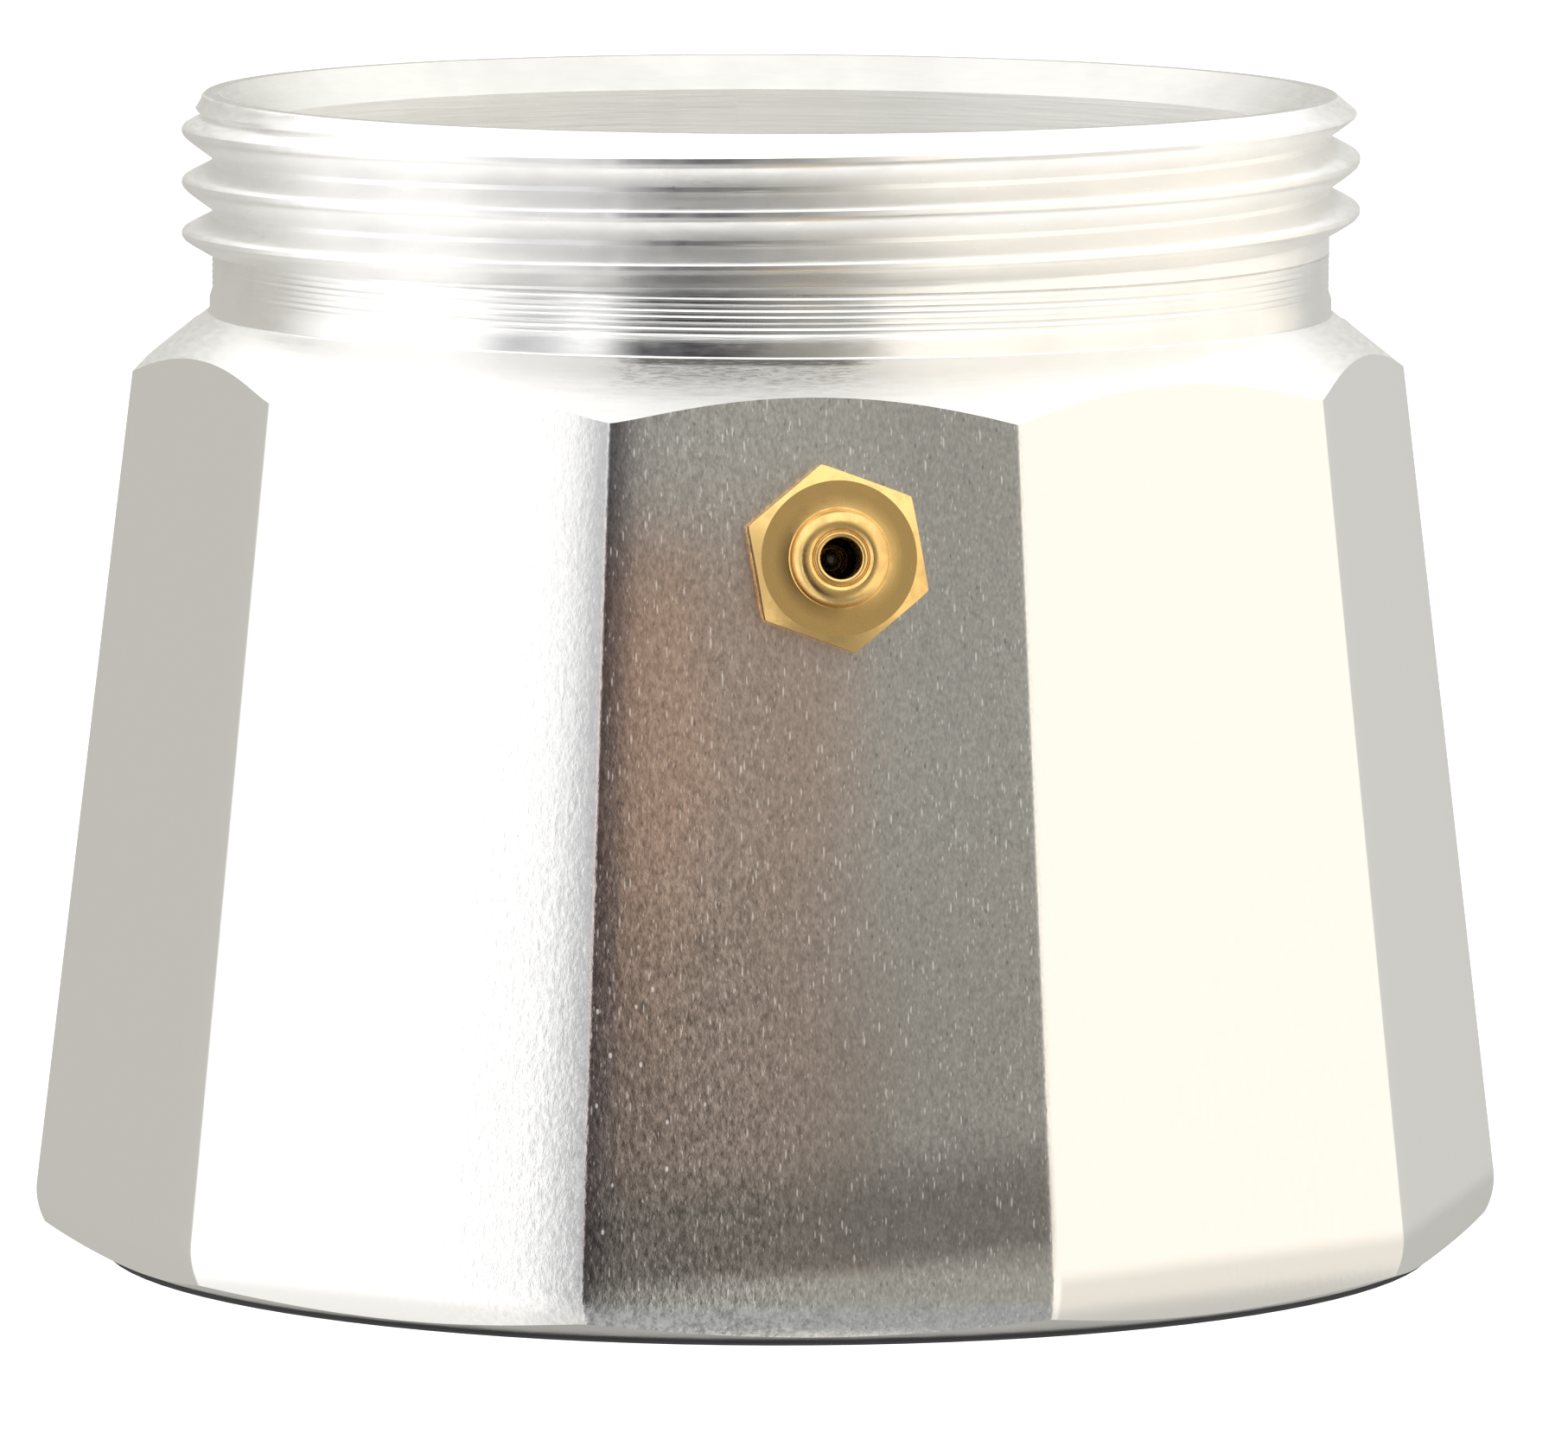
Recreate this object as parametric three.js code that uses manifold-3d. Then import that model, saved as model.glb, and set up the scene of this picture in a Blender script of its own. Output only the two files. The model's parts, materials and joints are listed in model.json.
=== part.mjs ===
// Stove-top coffee maker boiler: a ten-sided cast vessel with a turned, threaded neck and a brass
// safety valve screwed into one facet. Millimetres, +Z up. The origin is the centre of the foot,
// the valve facet faces -Y, and angles run from -Y towards +X.
import * as THREE from "three";
import { mergeVertices } from "three/addons/utils/BufferGeometryUtils.js";
import Module from "manifold-3d";

const wasm = await Module();
wasm.setup();

// ---- Boiler: driving dimensions ----
const FACETS = 10;
const HEIGHT = 66.3; // foot plane to rim plane
const BASE_CORNER_RADIUS = 42.55; // facet edges produced down to the foot plane
const SHOULDER_CORNER_RADIUS = 36.5; // facet edges where the shoulder cuts them
const SHOULDER_SLOPE = 38.6; // degrees below the horizontal
const BASE_FILLET = 4.2; // radius at the bottom of each facet
const BASE_FILLET_TOP = 3.9; // height where that fillet starts
const FOOT_INSET = 3.07; // facet flat, at the foot plane, in to the flat turned foot
const FOOT_SLOPE = 20; // degrees, the turned relief round the foot
const WALL = 3.0;
const FLOOR = 4.0;
const FLOOR_FILLET = 5.0; // between the floor and the side wall inside
const NECK_RADIUS = 31.9;
const NECK_HEIGHT = 12.2; // foot of the neck to the rim plane
const NECK_WALL = 2.3;
const MOUTH_CHAMFER = 1.9; // coned seat round the mouth, at 45 degrees
const RIM_CHAMFER = 0.85; // height of the chamfer outside the rim
const RIM_CHAMFER_SLOPE = 50; // degrees from the axis

// ---- Neck thread: right-hand, single start, cut down to the neck's own radius ----
const THREAD_PITCH = 2.95;
const THREAD_DEPTH_SHARE = 0.586; // of the pitch, as are the next three
const THREAD_CREST_SHARE = 0.04;
const THREAD_UPPER_FLANK_SHARE = 0.36;
const THREAD_LOWER_FLANK_SHARE = 0.55;
const THREAD_TOP_DROP = 1.35; // rim plane down to the first crest at the valve's side
const THREAD_TURNS_DOWN = 2.45; // from there to the end of the run-out
const THREAD_RUN_OUT = 40; // degrees over which the crest fades away
const THREAD_END_SHARE = 0.03; // of the depth, left where the run-out ends

// ---- Safety valve ----
const VALVE_DROP = 10.9; // foot of the neck down to the valve's centre
const VALVE_SIDE_OFFSET = 1.15; // from the facet's centre line, towards +X
const HEX_ACROSS_FLATS = 9.1;
const HEX_THICKNESS = 2.0;
const HEX_FACE_RADIUS = 4.25; // flat turned face inside the chamfered corners
const HEX_CHAMFER_SLOPE = 30; // degrees
const HEX_CLOCKING = 10; // degrees, how far the hexagon stopped past a corner-up position
const NOSE_BASE_RADIUS = 2.7;
const NOSE_CROWN_RADIUS = 2.35;
const NOSE_HEIGHT = 1.75;
const NOSE_ROUNDING = 0.35;
const OUTLET_RADIUS = 1.12;
const OUTLET_LENGTH = 2.9; // from the nose's tip to the spring chamber
const SHANK_RADIUS = 3.2;
const SHANK_REACH = 5.0; // past the wall, into the boiler
const CHAMBER_RADIUS = 2.2;
const BALL_RADIUS = 1.75;
const BUSH_RADIUS = 2.6;
const BUSH_LENGTH = 2.2;
const SEAT_RADIUS = 1.2; // edge that the ball closes
const INLET_RADIUS = 0.9;
const WASHER_THICKNESS = 0.5;
const WASHER_OUTER_RADIUS = 4.35;
const SPRING_WIRE_RADIUS = 0.15;
const SPRING_MEAN_RADIUS = 1.45;
const SPRING_TURNS = 5;

// ---- Fits ----
const SHANK_CLEARANCE = 0.1; // shank in the wall's hole, and washer on the shank
const BUSH_CLEARANCE = 0.05;
const FACE_GAP = 0.05; // between faces that touch on the real thing

// ---- Facet counts of the round surfaces ----
const TURN_STEPS = 60; // a multiple of FACETS, with a step on each facet edge
const VALVE_STEPS = 30;
const BALL_STEPS = 20;
const WIRE_SIDES = 6;
const SPRING_STEPS_PER_TURN = 14;
const BASE_FILLET_STEPS = 6;
const FLOOR_FILLET_STEPS = 5;
const NOSE_STEPS = 3;

const CUT_MARGIN = 1; // how far a cutter stands past what it cuts

// ---- Colours ----
const aluminium = new THREE.MeshStandardMaterial({ color: 0xd9d8d2, roughness: 0.32, metalness: 1 });
const brass = new THREE.MeshStandardMaterial({ color: 0xb08d4f, roughness: 0.35, metalness: 1 });
const fibre = new THREE.MeshStandardMaterial({ color: 0x8f3b2a, roughness: 0.8, metalness: 0 });
const springSteel = new THREE.MeshStandardMaterial({ color: 0xa8a9ab, roughness: 0.3, metalness: 1 });
const ballSteel = new THREE.MeshStandardMaterial({ color: 0xc9cacc, roughness: 0.12, metalness: 1 });

const { cos, sin, tan, sqrt, PI } = Math;
const rad = THREE.MathUtils.degToRad;

// ---- Worked-out sizes ----
const flatOverCorner = cos(PI / FACETS);
const neckFoot = HEIGHT - NECK_HEIGHT;
const shoulderDrop = (SHOULDER_CORNER_RADIUS - NECK_RADIUS) * tan(rad(SHOULDER_SLOPE));
const facetTop = neckFoot - shoulderDrop; // height of the facets' upper corners
const cornerTaper = (BASE_CORNER_RADIUS - SHOULDER_CORNER_RADIUS) / facetTop;
const flatRadiusAt = (z) => (BASE_CORNER_RADIUS - cornerTaper * z) * flatOverCorner;
const facetLean = Math.atan(cornerTaper * flatOverCorner);
const footRadius = flatRadiusAt(0) - FOOT_INSET;
const mouthRadius = NECK_RADIUS - NECK_WALL;
const threadDepth = THREAD_PITCH * THREAD_DEPTH_SHARE;
const crestRadius = NECK_RADIUS + threadDepth;
const rimEdgeRadius = crestRadius - RIM_CHAMFER * tan(rad(RIM_CHAMFER_SLOPE));
const valveHeight = neckFoot - VALVE_DROP;

// ---- Mesh helpers ----

// A closed geometry as a manifold-3d solid, placed by an optional matrix.
function solid(geometry, matrix) {
  const bare = geometry.clone();
  bare.deleteAttribute("normal");
  bare.deleteAttribute("uv");
  if (matrix) bare.applyMatrix4(matrix);
  const merged = mergeVertices(bare, 1e-4);
  return new wasm.Manifold(
    new wasm.Mesh({
      numProp: 3,
      vertProperties: new Float32Array(merged.attributes.position.array),
      triVerts: new Uint32Array(merged.index.array),
    }),
  );
}

function geometryOf(manifold) {
  const mesh = manifold.getMesh();
  return new THREE.BufferGeometry()
    .setAttribute("position", new THREE.BufferAttribute(new Float32Array(mesh.vertProperties), 3))
    .setIndex(new THREE.BufferAttribute(new Uint32Array(mesh.triVerts), 1));
}

function named(name, manifoldOrGeometry, material) {
  const isGeometry = manifoldOrGeometry.isBufferGeometry;
  const geometry = isGeometry ? manifoldOrGeometry.clone() : geometryOf(manifoldOrGeometry);
  geometry.computeVertexNormals();
  const mesh = new THREE.Mesh(geometry, material);
  mesh.name = name;
  return mesh;
}

// A profile of [radius, height] points turned about Z. It starts and ends on the axis or closes on
// itself, and runs upwards on its outside.
function turned(profile, steps = TURN_STEPS, firstAngle = 0) {
  const points = profile.map(([r, z]) => new THREE.Vector2(r, z));
  return new THREE.LatheGeometry(points, steps, firstAngle).rotateX(PI / 2);
}

// Points on an arc about [centreR, centreZ], from one angle to another in degrees.
function arc(centreR, centreZ, radius, from, to, steps) {
  return Array.from({ length: steps + 1 }, (_, i) => {
    const a = rad(from + ((to - from) * i) / steps);
    return [centreR + radius * cos(a), centreZ + radius * sin(a)];
  });
}

// ---- Boiler body ----

// The ten-sided block: leaning facets with a fillet at their foot.
function facetedBlock() {
  const leanDegrees = THREE.MathUtils.radToDeg(facetLean);
  const centreR = flatRadiusAt(BASE_FILLET_TOP) - BASE_FILLET * cos(facetLean);
  const centreZ = BASE_FILLET_TOP - BASE_FILLET * sin(facetLean);
  const lowest = -THREE.MathUtils.radToDeg(Math.asin(Math.min(1, centreZ / BASE_FILLET)));
  const fillet = arc(centreR, centreZ, BASE_FILLET, lowest, leanDegrees, BASE_FILLET_STEPS);
  const flatProfile = [[0, fillet[0][1]], ...fillet, [flatRadiusAt(neckFoot), neckFoot], [0, neckFoot]];
  const cornerProfile = flatProfile.map(([r, z]) => [r / flatOverCorner, z]);
  return turned(cornerProfile, FACETS, PI / FACETS);
}

// What the lathe leaves of the block: the foot, the relief round it and the sloping shoulder.
function shoulderEnvelope() {
  const outer = Math.max(BASE_CORNER_RADIUS, SHOULDER_CORNER_RADIUS) + CUT_MARGIN;
  const inner = mouthRadius;
  const shoulderAt = (r) => neckFoot - (r - NECK_RADIUS) * tan(rad(SHOULDER_SLOPE));
  return turned([
    [0, 0],
    [footRadius, 0],
    [outer, (outer - footRadius) * tan(rad(FOOT_SLOPE))],
    [outer, shoulderAt(outer)],
    [inner, shoulderAt(inner)],
    [0, shoulderAt(inner)],
  ]);
}

// The neck's blank, from inside the shoulder up to the rim.
function neckBlank() {
  const bottom = neckFoot - shoulderDrop;
  return turned([[0, bottom], [NECK_RADIUS, bottom], [NECK_RADIUS, HEIGHT], [0, HEIGHT]]);
}

// The helical ridge of the thread: one cross-section at each step, joined and capped.
function threadRidge() {
  const bury = NECK_WALL / 3;
  const crestHalf = (THREAD_PITCH * THREAD_CREST_SHARE) / 2;
  const upper = crestHalf + THREAD_PITCH * THREAD_UPPER_FLANK_SHARE;
  const lower = crestHalf + THREAD_PITCH * THREAD_LOWER_FLANK_SHARE;
  const stepAngle = 360 / TURN_STEPS;
  const first = -Math.round((THREAD_TURNS_DOWN * 360) / stepAngle);
  const last = Math.ceil(((THREAD_TOP_DROP + lower) / THREAD_PITCH + 0.5) * TURN_STEPS);
  const positions = [];
  const index = [];
  for (let step = first; step <= last; step++) {
    const degrees = step * stepAngle;
    const fade = Math.min(1, Math.max(THREAD_END_SHARE, (degrees + THREAD_TURNS_DOWN * 360) / THREAD_RUN_OUT));
    const z = HEIGHT - THREAD_TOP_DROP + (THREAD_PITCH * degrees) / 360;
    const section = [
      [NECK_RADIUS - bury, z - lower],
      [NECK_RADIUS, z - lower],
      [NECK_RADIUS + threadDepth * fade, z - crestHalf],
      [NECK_RADIUS + threadDepth * fade, z + crestHalf],
      [NECK_RADIUS, z + upper],
      [NECK_RADIUS - bury, z + upper],
    ];
    for (const [r, height] of section)
      positions.push(r * sin(rad(degrees)), -r * cos(rad(degrees)), height);
  }
  const sides = 6;
  const rings = last - first + 1;
  for (let ring = 0; ring < rings - 1; ring++)
    for (let side = 0; side < sides; side++) {
      const a = ring * sides + side;
      const b = ring * sides + ((side + 1) % sides);
      index.push(a, a + sides, b, b, a + sides, b + sides);
    }
  const end = (rings - 1) * sides;
  for (let side = 1; side < sides - 1; side++) {
    index.push(0, side, side + 1);
    index.push(end, end + side + 1, end + side);
  }
  return new THREE.BufferGeometry()
    .setAttribute("position", new THREE.Float32BufferAttribute(positions, 3))
    .setIndex(index);
}

// The limit of the neck and thread: a cylinder with the chamfer that leads on to the rim.
function rimEnvelope() {
  const outer = crestRadius + CUT_MARGIN;
  const bottom = neckFoot - shoulderDrop - CUT_MARGIN;
  const chamferFoot = HEIGHT - (outer - rimEdgeRadius) / tan(rad(RIM_CHAMFER_SLOPE));
  return turned([[0, bottom], [outer, bottom], [outer, chamferFoot], [rimEdgeRadius, HEIGHT], [0, HEIGHT]]);
}

// The inside: a floor with a fillet, walls along the facets, a sloping roof and the round mouth.
function cavity() {
  const slope = rad(SHOULDER_SLOPE);
  const innerAt = (z) => flatRadiusAt(z) - WALL;
  const roofAt = (r) => neckFoot - WALL / cos(slope) - (r - NECK_RADIUS) * tan(slope);
  const wallTaper = cornerTaper * flatOverCorner;
  const wallAtZero = innerAt(0);
  const roofAtZero = roofAt(0);
  const roofFoot = (roofAtZero - wallAtZero * tan(slope)) / (1 - wallTaper * tan(slope));
  const filletRun = FLOOR_FILLET / tan((PI / 2 - facetLean) / 2);
  const filletR = innerAt(FLOOR) - filletRun;
  const leanDegrees = THREE.MathUtils.radToDeg(facetLean);
  return turned([
    [0, FLOOR],
    ...arc(filletR, FLOOR + FLOOR_FILLET, FLOOR_FILLET, -90, leanDegrees, FLOOR_FILLET_STEPS),
    [innerAt(roofFoot), roofFoot],
    [mouthRadius, roofAt(mouthRadius)],
    [mouthRadius, HEIGHT - MOUTH_CHAMFER],
    [mouthRadius + MOUTH_CHAMFER, HEIGHT],
    [mouthRadius + MOUTH_CHAMFER, HEIGHT + CUT_MARGIN],
    [0, HEIGHT + CUT_MARGIN],
  ]);
}

// ---- Safety valve, along its own +Z, with z = 0 on the facet ----
const hexFoot = WASHER_THICKNESS + 2 * FACE_GAP;
const hexFace = hexFoot + HEX_THICKNESS;
const noseTip = hexFace + NOSE_HEIGHT;
const chamberTop = noseTip - OUTLET_LENGTH;
const shankEnd = -(WALL + SHANK_REACH);
const bushTop = shankEnd + BUSH_LENGTH;
const ballCentre = bushTop + sqrt(BALL_RADIUS ** 2 - SEAT_RADIUS ** 2) + FACE_GAP;
const springContact = BALL_RADIUS + SPRING_WIRE_RADIUS + FACE_GAP;
const springFoot = ballCentre + sqrt(springContact ** 2 - SPRING_MEAN_RADIUS ** 2);
const springHead = chamberTop - SPRING_WIRE_RADIUS - FACE_GAP;

// The hexagon, with its corners turned away in a cone round the flat face.
function hexHead() {
  const cornerRadius = HEX_ACROSS_FLATS / 2 / cos(PI / 6);
  const block = turned([[0, hexFoot], [cornerRadius, hexFoot], [cornerRadius, hexFace], [0, hexFace]], 6, 0);
  block.rotateZ(rad(HEX_CLOCKING) + PI);
  const coneDrop = (cornerRadius + CUT_MARGIN - HEX_FACE_RADIUS) * tan(rad(HEX_CHAMFER_SLOPE));
  const cone = turned(
    [
      [0, hexFoot - CUT_MARGIN],
      [cornerRadius + CUT_MARGIN, hexFoot - CUT_MARGIN],
      [cornerRadius + CUT_MARGIN, hexFace - coneDrop],
      [HEX_FACE_RADIUS, hexFace],
      [0, hexFace],
    ],
    VALVE_STEPS,
  );
  return solid(block).intersect(solid(cone));
}

// The nose and the shank as one turned blank through the hexagon.
function valveStem() {
  const crownZ = noseTip - NOSE_ROUNDING;
  return solid(
    turned(
      [
        [0, shankEnd],
        [SHANK_RADIUS, shankEnd],
        [SHANK_RADIUS, hexFoot + HEX_THICKNESS / 2],
        [NOSE_BASE_RADIUS, hexFoot + HEX_THICKNESS / 2],
        [NOSE_BASE_RADIUS, hexFace],
        ...arc(NOSE_CROWN_RADIUS - NOSE_ROUNDING, crownZ, NOSE_ROUNDING, 0, 90, NOSE_STEPS),
        [0, noseTip],
      ],
      VALVE_STEPS,
    ),
  );
}

// Everything bored out of the valve: the outlet, the spring chamber and the bush's seat.
function valveBore() {
  return solid(
    turned(
      [
        [0, shankEnd - CUT_MARGIN],
        [BUSH_RADIUS + BUSH_CLEARANCE, shankEnd - CUT_MARGIN],
        [BUSH_RADIUS + BUSH_CLEARANCE, bushTop + FACE_GAP],
        [CHAMBER_RADIUS, bushTop + FACE_GAP],
        [CHAMBER_RADIUS, chamberTop],
        [OUTLET_RADIUS, chamberTop],
        [OUTLET_RADIUS, noseTip + CUT_MARGIN],
        [0, noseTip + CUT_MARGIN],
      ],
      VALVE_STEPS,
    ),
  );
}

function sealingWasher() {
  const inner = SHANK_RADIUS + SHANK_CLEARANCE;
  const bottom = FACE_GAP;
  const top = FACE_GAP + WASHER_THICKNESS;
  return turned(
    [[inner, bottom], [WASHER_OUTER_RADIUS, bottom], [WASHER_OUTER_RADIUS, top], [inner, top], [inner, bottom]],
    VALVE_STEPS,
  );
}

// The bush that closes the inner end, with the inlet and the coned seat for the ball.
function seatBush() {
  const seatFoot = bushTop - (SEAT_RADIUS - INLET_RADIUS);
  return turned(
    [
      [INLET_RADIUS, shankEnd],
      [BUSH_RADIUS, shankEnd],
      [BUSH_RADIUS, bushTop],
      [SEAT_RADIUS, bushTop],
      [INLET_RADIUS, seatFoot],
      [INLET_RADIUS, shankEnd],
    ],
    VALVE_STEPS,
  );
}

// The spring's wire: a helix that stands on the ball and ends under the outlet.
class SpringPath extends THREE.Curve {
  getPoint(t, target = new THREE.Vector3()) {
    const angle = 2 * PI * SPRING_TURNS * t;
    return target.set(
      SPRING_MEAN_RADIUS * cos(angle),
      SPRING_MEAN_RADIUS * sin(angle),
      springFoot + (springHead - springFoot) * t,
    );
  }
}

function spring() {
  const section = new THREE.Shape().setFromPoints(
    arc(0, 0, SPRING_WIRE_RADIUS, 0, 360 - 360 / WIRE_SIDES, WIRE_SIDES - 1).map(
      ([x, y]) => new THREE.Vector2(x, y),
    ),
  );
  return new THREE.ExtrudeGeometry(section, {
    steps: SPRING_TURNS * SPRING_STEPS_PER_TURN,
    extrudePath: new SpringPath(),
    bevelEnabled: false,
  });
}

// ---- Assembly ----
const valve = new THREE.Group();
valve.position.set(VALVE_SIDE_OFFSET, -flatRadiusAt(valveHeight), valveHeight);
valve.rotation.x = PI / 2 - facetLean;
valve.updateMatrix();

const holeRadius = SHANK_RADIUS + SHANK_CLEARANCE;
const valveHole = turned(
  [[0, shankEnd - CUT_MARGIN], [holeRadius, shankEnd - CUT_MARGIN], [holeRadius, hexFoot], [0, hexFoot]],
  VALVE_STEPS,
);
const neck = solid(neckBlank()).add(solid(threadRidge())).intersect(solid(rimEnvelope()));
const body = solid(facetedBlock())
  .intersect(solid(shoulderEnvelope()))
  .add(neck)
  .subtract(solid(cavity()))
  .subtract(solid(valveHole, valve.matrix));

const ball = new THREE.SphereGeometry(BALL_RADIUS, BALL_STEPS, BALL_STEPS / 2);
ball.translate(0, 0, ballCentre);

valve.add(
  named("valve_body", hexHead().add(valveStem()).subtract(valveBore()), brass),
  named("valve_sealing_washer", sealingWasher(), fibre),
  named("valve_seat_bush", seatBush(), brass),
  named("valve_ball", ball, ballSteel),
  named("valve_spring", spring(), springSteel),
);

const boiler = new THREE.Group();
boiler.add(named("boiler_body", body, aluminium), valve);

export default boiler;
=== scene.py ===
"""Moka pot boiler with its safety valve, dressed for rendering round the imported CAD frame.

Lengths in the classes are millimetres; meshes are written in metres. Angles round the boiler start
at -Y, where the valve sits, and grow towards +X.
"""

import json
import logging
from dataclasses import dataclass, field
from enum import Enum
from functools import partial, reduce
from typing import Sequence

import bmesh
import bpy
import numpy as np
from mathutils import Matrix, Vector


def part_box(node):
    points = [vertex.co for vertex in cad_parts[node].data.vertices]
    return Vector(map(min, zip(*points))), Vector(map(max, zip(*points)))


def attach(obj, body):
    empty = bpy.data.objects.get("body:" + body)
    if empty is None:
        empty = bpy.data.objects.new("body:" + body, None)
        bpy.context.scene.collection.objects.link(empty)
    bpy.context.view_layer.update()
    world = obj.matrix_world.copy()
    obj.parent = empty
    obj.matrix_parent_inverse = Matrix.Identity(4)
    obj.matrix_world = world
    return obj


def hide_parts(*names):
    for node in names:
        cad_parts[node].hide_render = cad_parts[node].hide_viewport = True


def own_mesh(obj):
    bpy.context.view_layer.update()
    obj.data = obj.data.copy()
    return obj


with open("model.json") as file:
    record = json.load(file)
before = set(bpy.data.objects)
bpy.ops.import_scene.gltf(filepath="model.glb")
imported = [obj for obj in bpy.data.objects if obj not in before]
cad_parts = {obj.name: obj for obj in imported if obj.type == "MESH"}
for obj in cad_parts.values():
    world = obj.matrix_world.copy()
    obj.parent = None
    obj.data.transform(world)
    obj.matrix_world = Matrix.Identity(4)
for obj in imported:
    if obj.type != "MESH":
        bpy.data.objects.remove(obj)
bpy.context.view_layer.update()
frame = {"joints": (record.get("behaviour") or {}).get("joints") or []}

MM = 0.001
MERGE = 0.0004 * MM
SHARP_DEGREES = 28.0
BALL_JOINT = next(joint for joint in frame["joints"] if joint["name"] == "valve_ball_lift")
Colour = tuple[float, float, float]
Socket = bpy.types.NodeSocket
Value = bpy.types.NodeSocket | float | Sequence[float]
log = logging.getLogger("boiler")


# ------------------------------------------------------------------ mesh tools


@dataclass(frozen=True)
class Placement:
    """A right-handed set of axes and their origin, in millimetres in the frame's own axes."""

    origin: np.ndarray
    right: np.ndarray
    up: np.ndarray
    out: np.ndarray

    def place(self, x: np.ndarray, y: np.ndarray, z: np.ndarray) -> np.ndarray:
        """Points at x to the right, y up and z out, as an array with a last axis of three."""
        return self.origin + np.stack([x, y, z], axis=-1) @ np.stack([self.right, self.up, self.out])


def upright() -> Placement:
    """The frame's axes, turned so that angle 0 is -Y and 90 degrees is +X."""
    return Placement(np.zeros(3), *np.array([[0.0, -1.0, 0.0], [1.0, 0.0, 0.0], [0.0, 0.0, 1.0]]))


def revolve(angle: np.ndarray, radius: np.ndarray, height: np.ndarray, axes: Placement) -> np.ndarray:
    """Turns a profile about an axis.

    Each point is radius times the cosine of its angle along the first axis, radius times the sine
    along the second, and height along the third.

    Args:
        angle: one angle a column, in radians.
        radius: columns by rows.
        height: columns by rows.
        axes: the axis to turn about is axes.out.

    Returns:
        Points as columns by rows by three, in millimetres.
    """
    turn = angle[:, None]
    return axes.place(radius * np.cos(turn), radius * np.sin(turn), height)


def grid_object(
    name: str,
    points: np.ndarray,
    materials: Sequence[bpy.types.Material],
    rows: np.ndarray | None = None,
    sharp_degrees: float = SHARP_DEGREES,
) -> bpy.types.Object:
    """Makes a closed smooth-shaded object from a grid of points.

    Neighbouring columns and rows are joined by quads. Points that coincide, at a seam, at a pole or
    where rows run together, are merged, which closes the surface and drops the empty quads.

    Args:
        name: the piece's name.
        points: columns by rows by three, in millimetres.
        materials: the object's materials.
        rows: for each band between two rows, the index of its material; all 0 if left out.
        sharp_degrees: edges that fold by more than this are drawn sharp.

    Returns:
        The object, linked to the scene.
    """
    columns, count = points.shape[:2]
    index = np.arange(columns * count).reshape(columns, count)
    quads = np.stack([index[:-1, :-1], index[1:, :-1], index[1:, 1:], index[:-1, 1:]], axis=-1)
    mesh = bpy.data.meshes.new(name)
    mesh.from_pydata((points.reshape(-1, 3) * MM).tolist(), [], quads.reshape(-1, 4).tolist())
    if rows is not None:
        mesh.polygons.foreach_set("material_index", np.tile(rows, columns - 1).astype(np.int32))
    for material in materials:
        mesh.materials.append(material)
    work = bmesh.new()
    work.from_mesh(mesh)
    bmesh.ops.remove_doubles(work, verts=work.verts, dist=MERGE)
    bmesh.ops.dissolve_degenerate(work, edges=work.edges, dist=MERGE)
    work.to_mesh(mesh)
    work.free()
    mesh.shade_smooth()
    mesh.set_sharp_from_angle(angle=np.radians(sharp_degrees))
    mesh.update()
    made = bpy.data.objects.new(name, mesh)
    bpy.context.scene.collection.objects.link(made)
    return made


def spread(start: np.ndarray | float, end: np.ndarray | float, count: int, columns: int) -> np.ndarray:
    """Evenly spaced values: the start plus a growing share of the way to the end.

    Args:
        start: one number, or one for each column.
        end: likewise.
        count: how many values a column has.
        columns: how many columns there are.

    Returns:
        Columns by count.
    """
    share = np.linspace(0.0, 1.0, count)
    first = np.broadcast_to(np.asarray(start, float), (columns,))[:, None]
    last = np.broadcast_to(np.asarray(end, float), (columns,))[:, None]
    return first + (last - first) * share


def soft_least(a: np.ndarray, b: np.ndarray, sharpness: float) -> np.ndarray:
    """The smaller of two values with the change-over rounded.

    Minus the log of the sum of the exponentials of minus sharpness times each, over sharpness.

    Args:
        a: one value.
        b: the other.
        sharpness: the greater, the narrower the rounded part.

    Returns:
        An array of their shape.
    """
    low = np.minimum(a, b)
    return low - np.log(np.exp(-sharpness * (a - low)) + np.exp(-sharpness * (b - low))) / sharpness


def ripple(x: np.ndarray, seed: int, waves: int, lowest: float) -> np.ndarray:
    """A gentle irregular wave between about -1 and 1 that repeats after a full turn.

    A sum of sines of whole frequencies that rise by 1.6 each, with seeded phases and falling
    heights.

    Args:
        x: angles in radians.
        seed: of the phases.
        waves: how many sines there are.
        lowest: the first frequency.

    Returns:
        An array of x's shape.
    """
    rng = np.random.default_rng(seed)
    order = np.arange(waves)
    frequency = np.round(lowest * 1.6**order)
    phase = rng.uniform(0, 2 * np.pi, waves)
    return np.sin(frequency * x[..., None] + phase) @ (1 / (1 + 0.5 * order)) / 2.5


# ------------------------------------------------------------------ node materials


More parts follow.
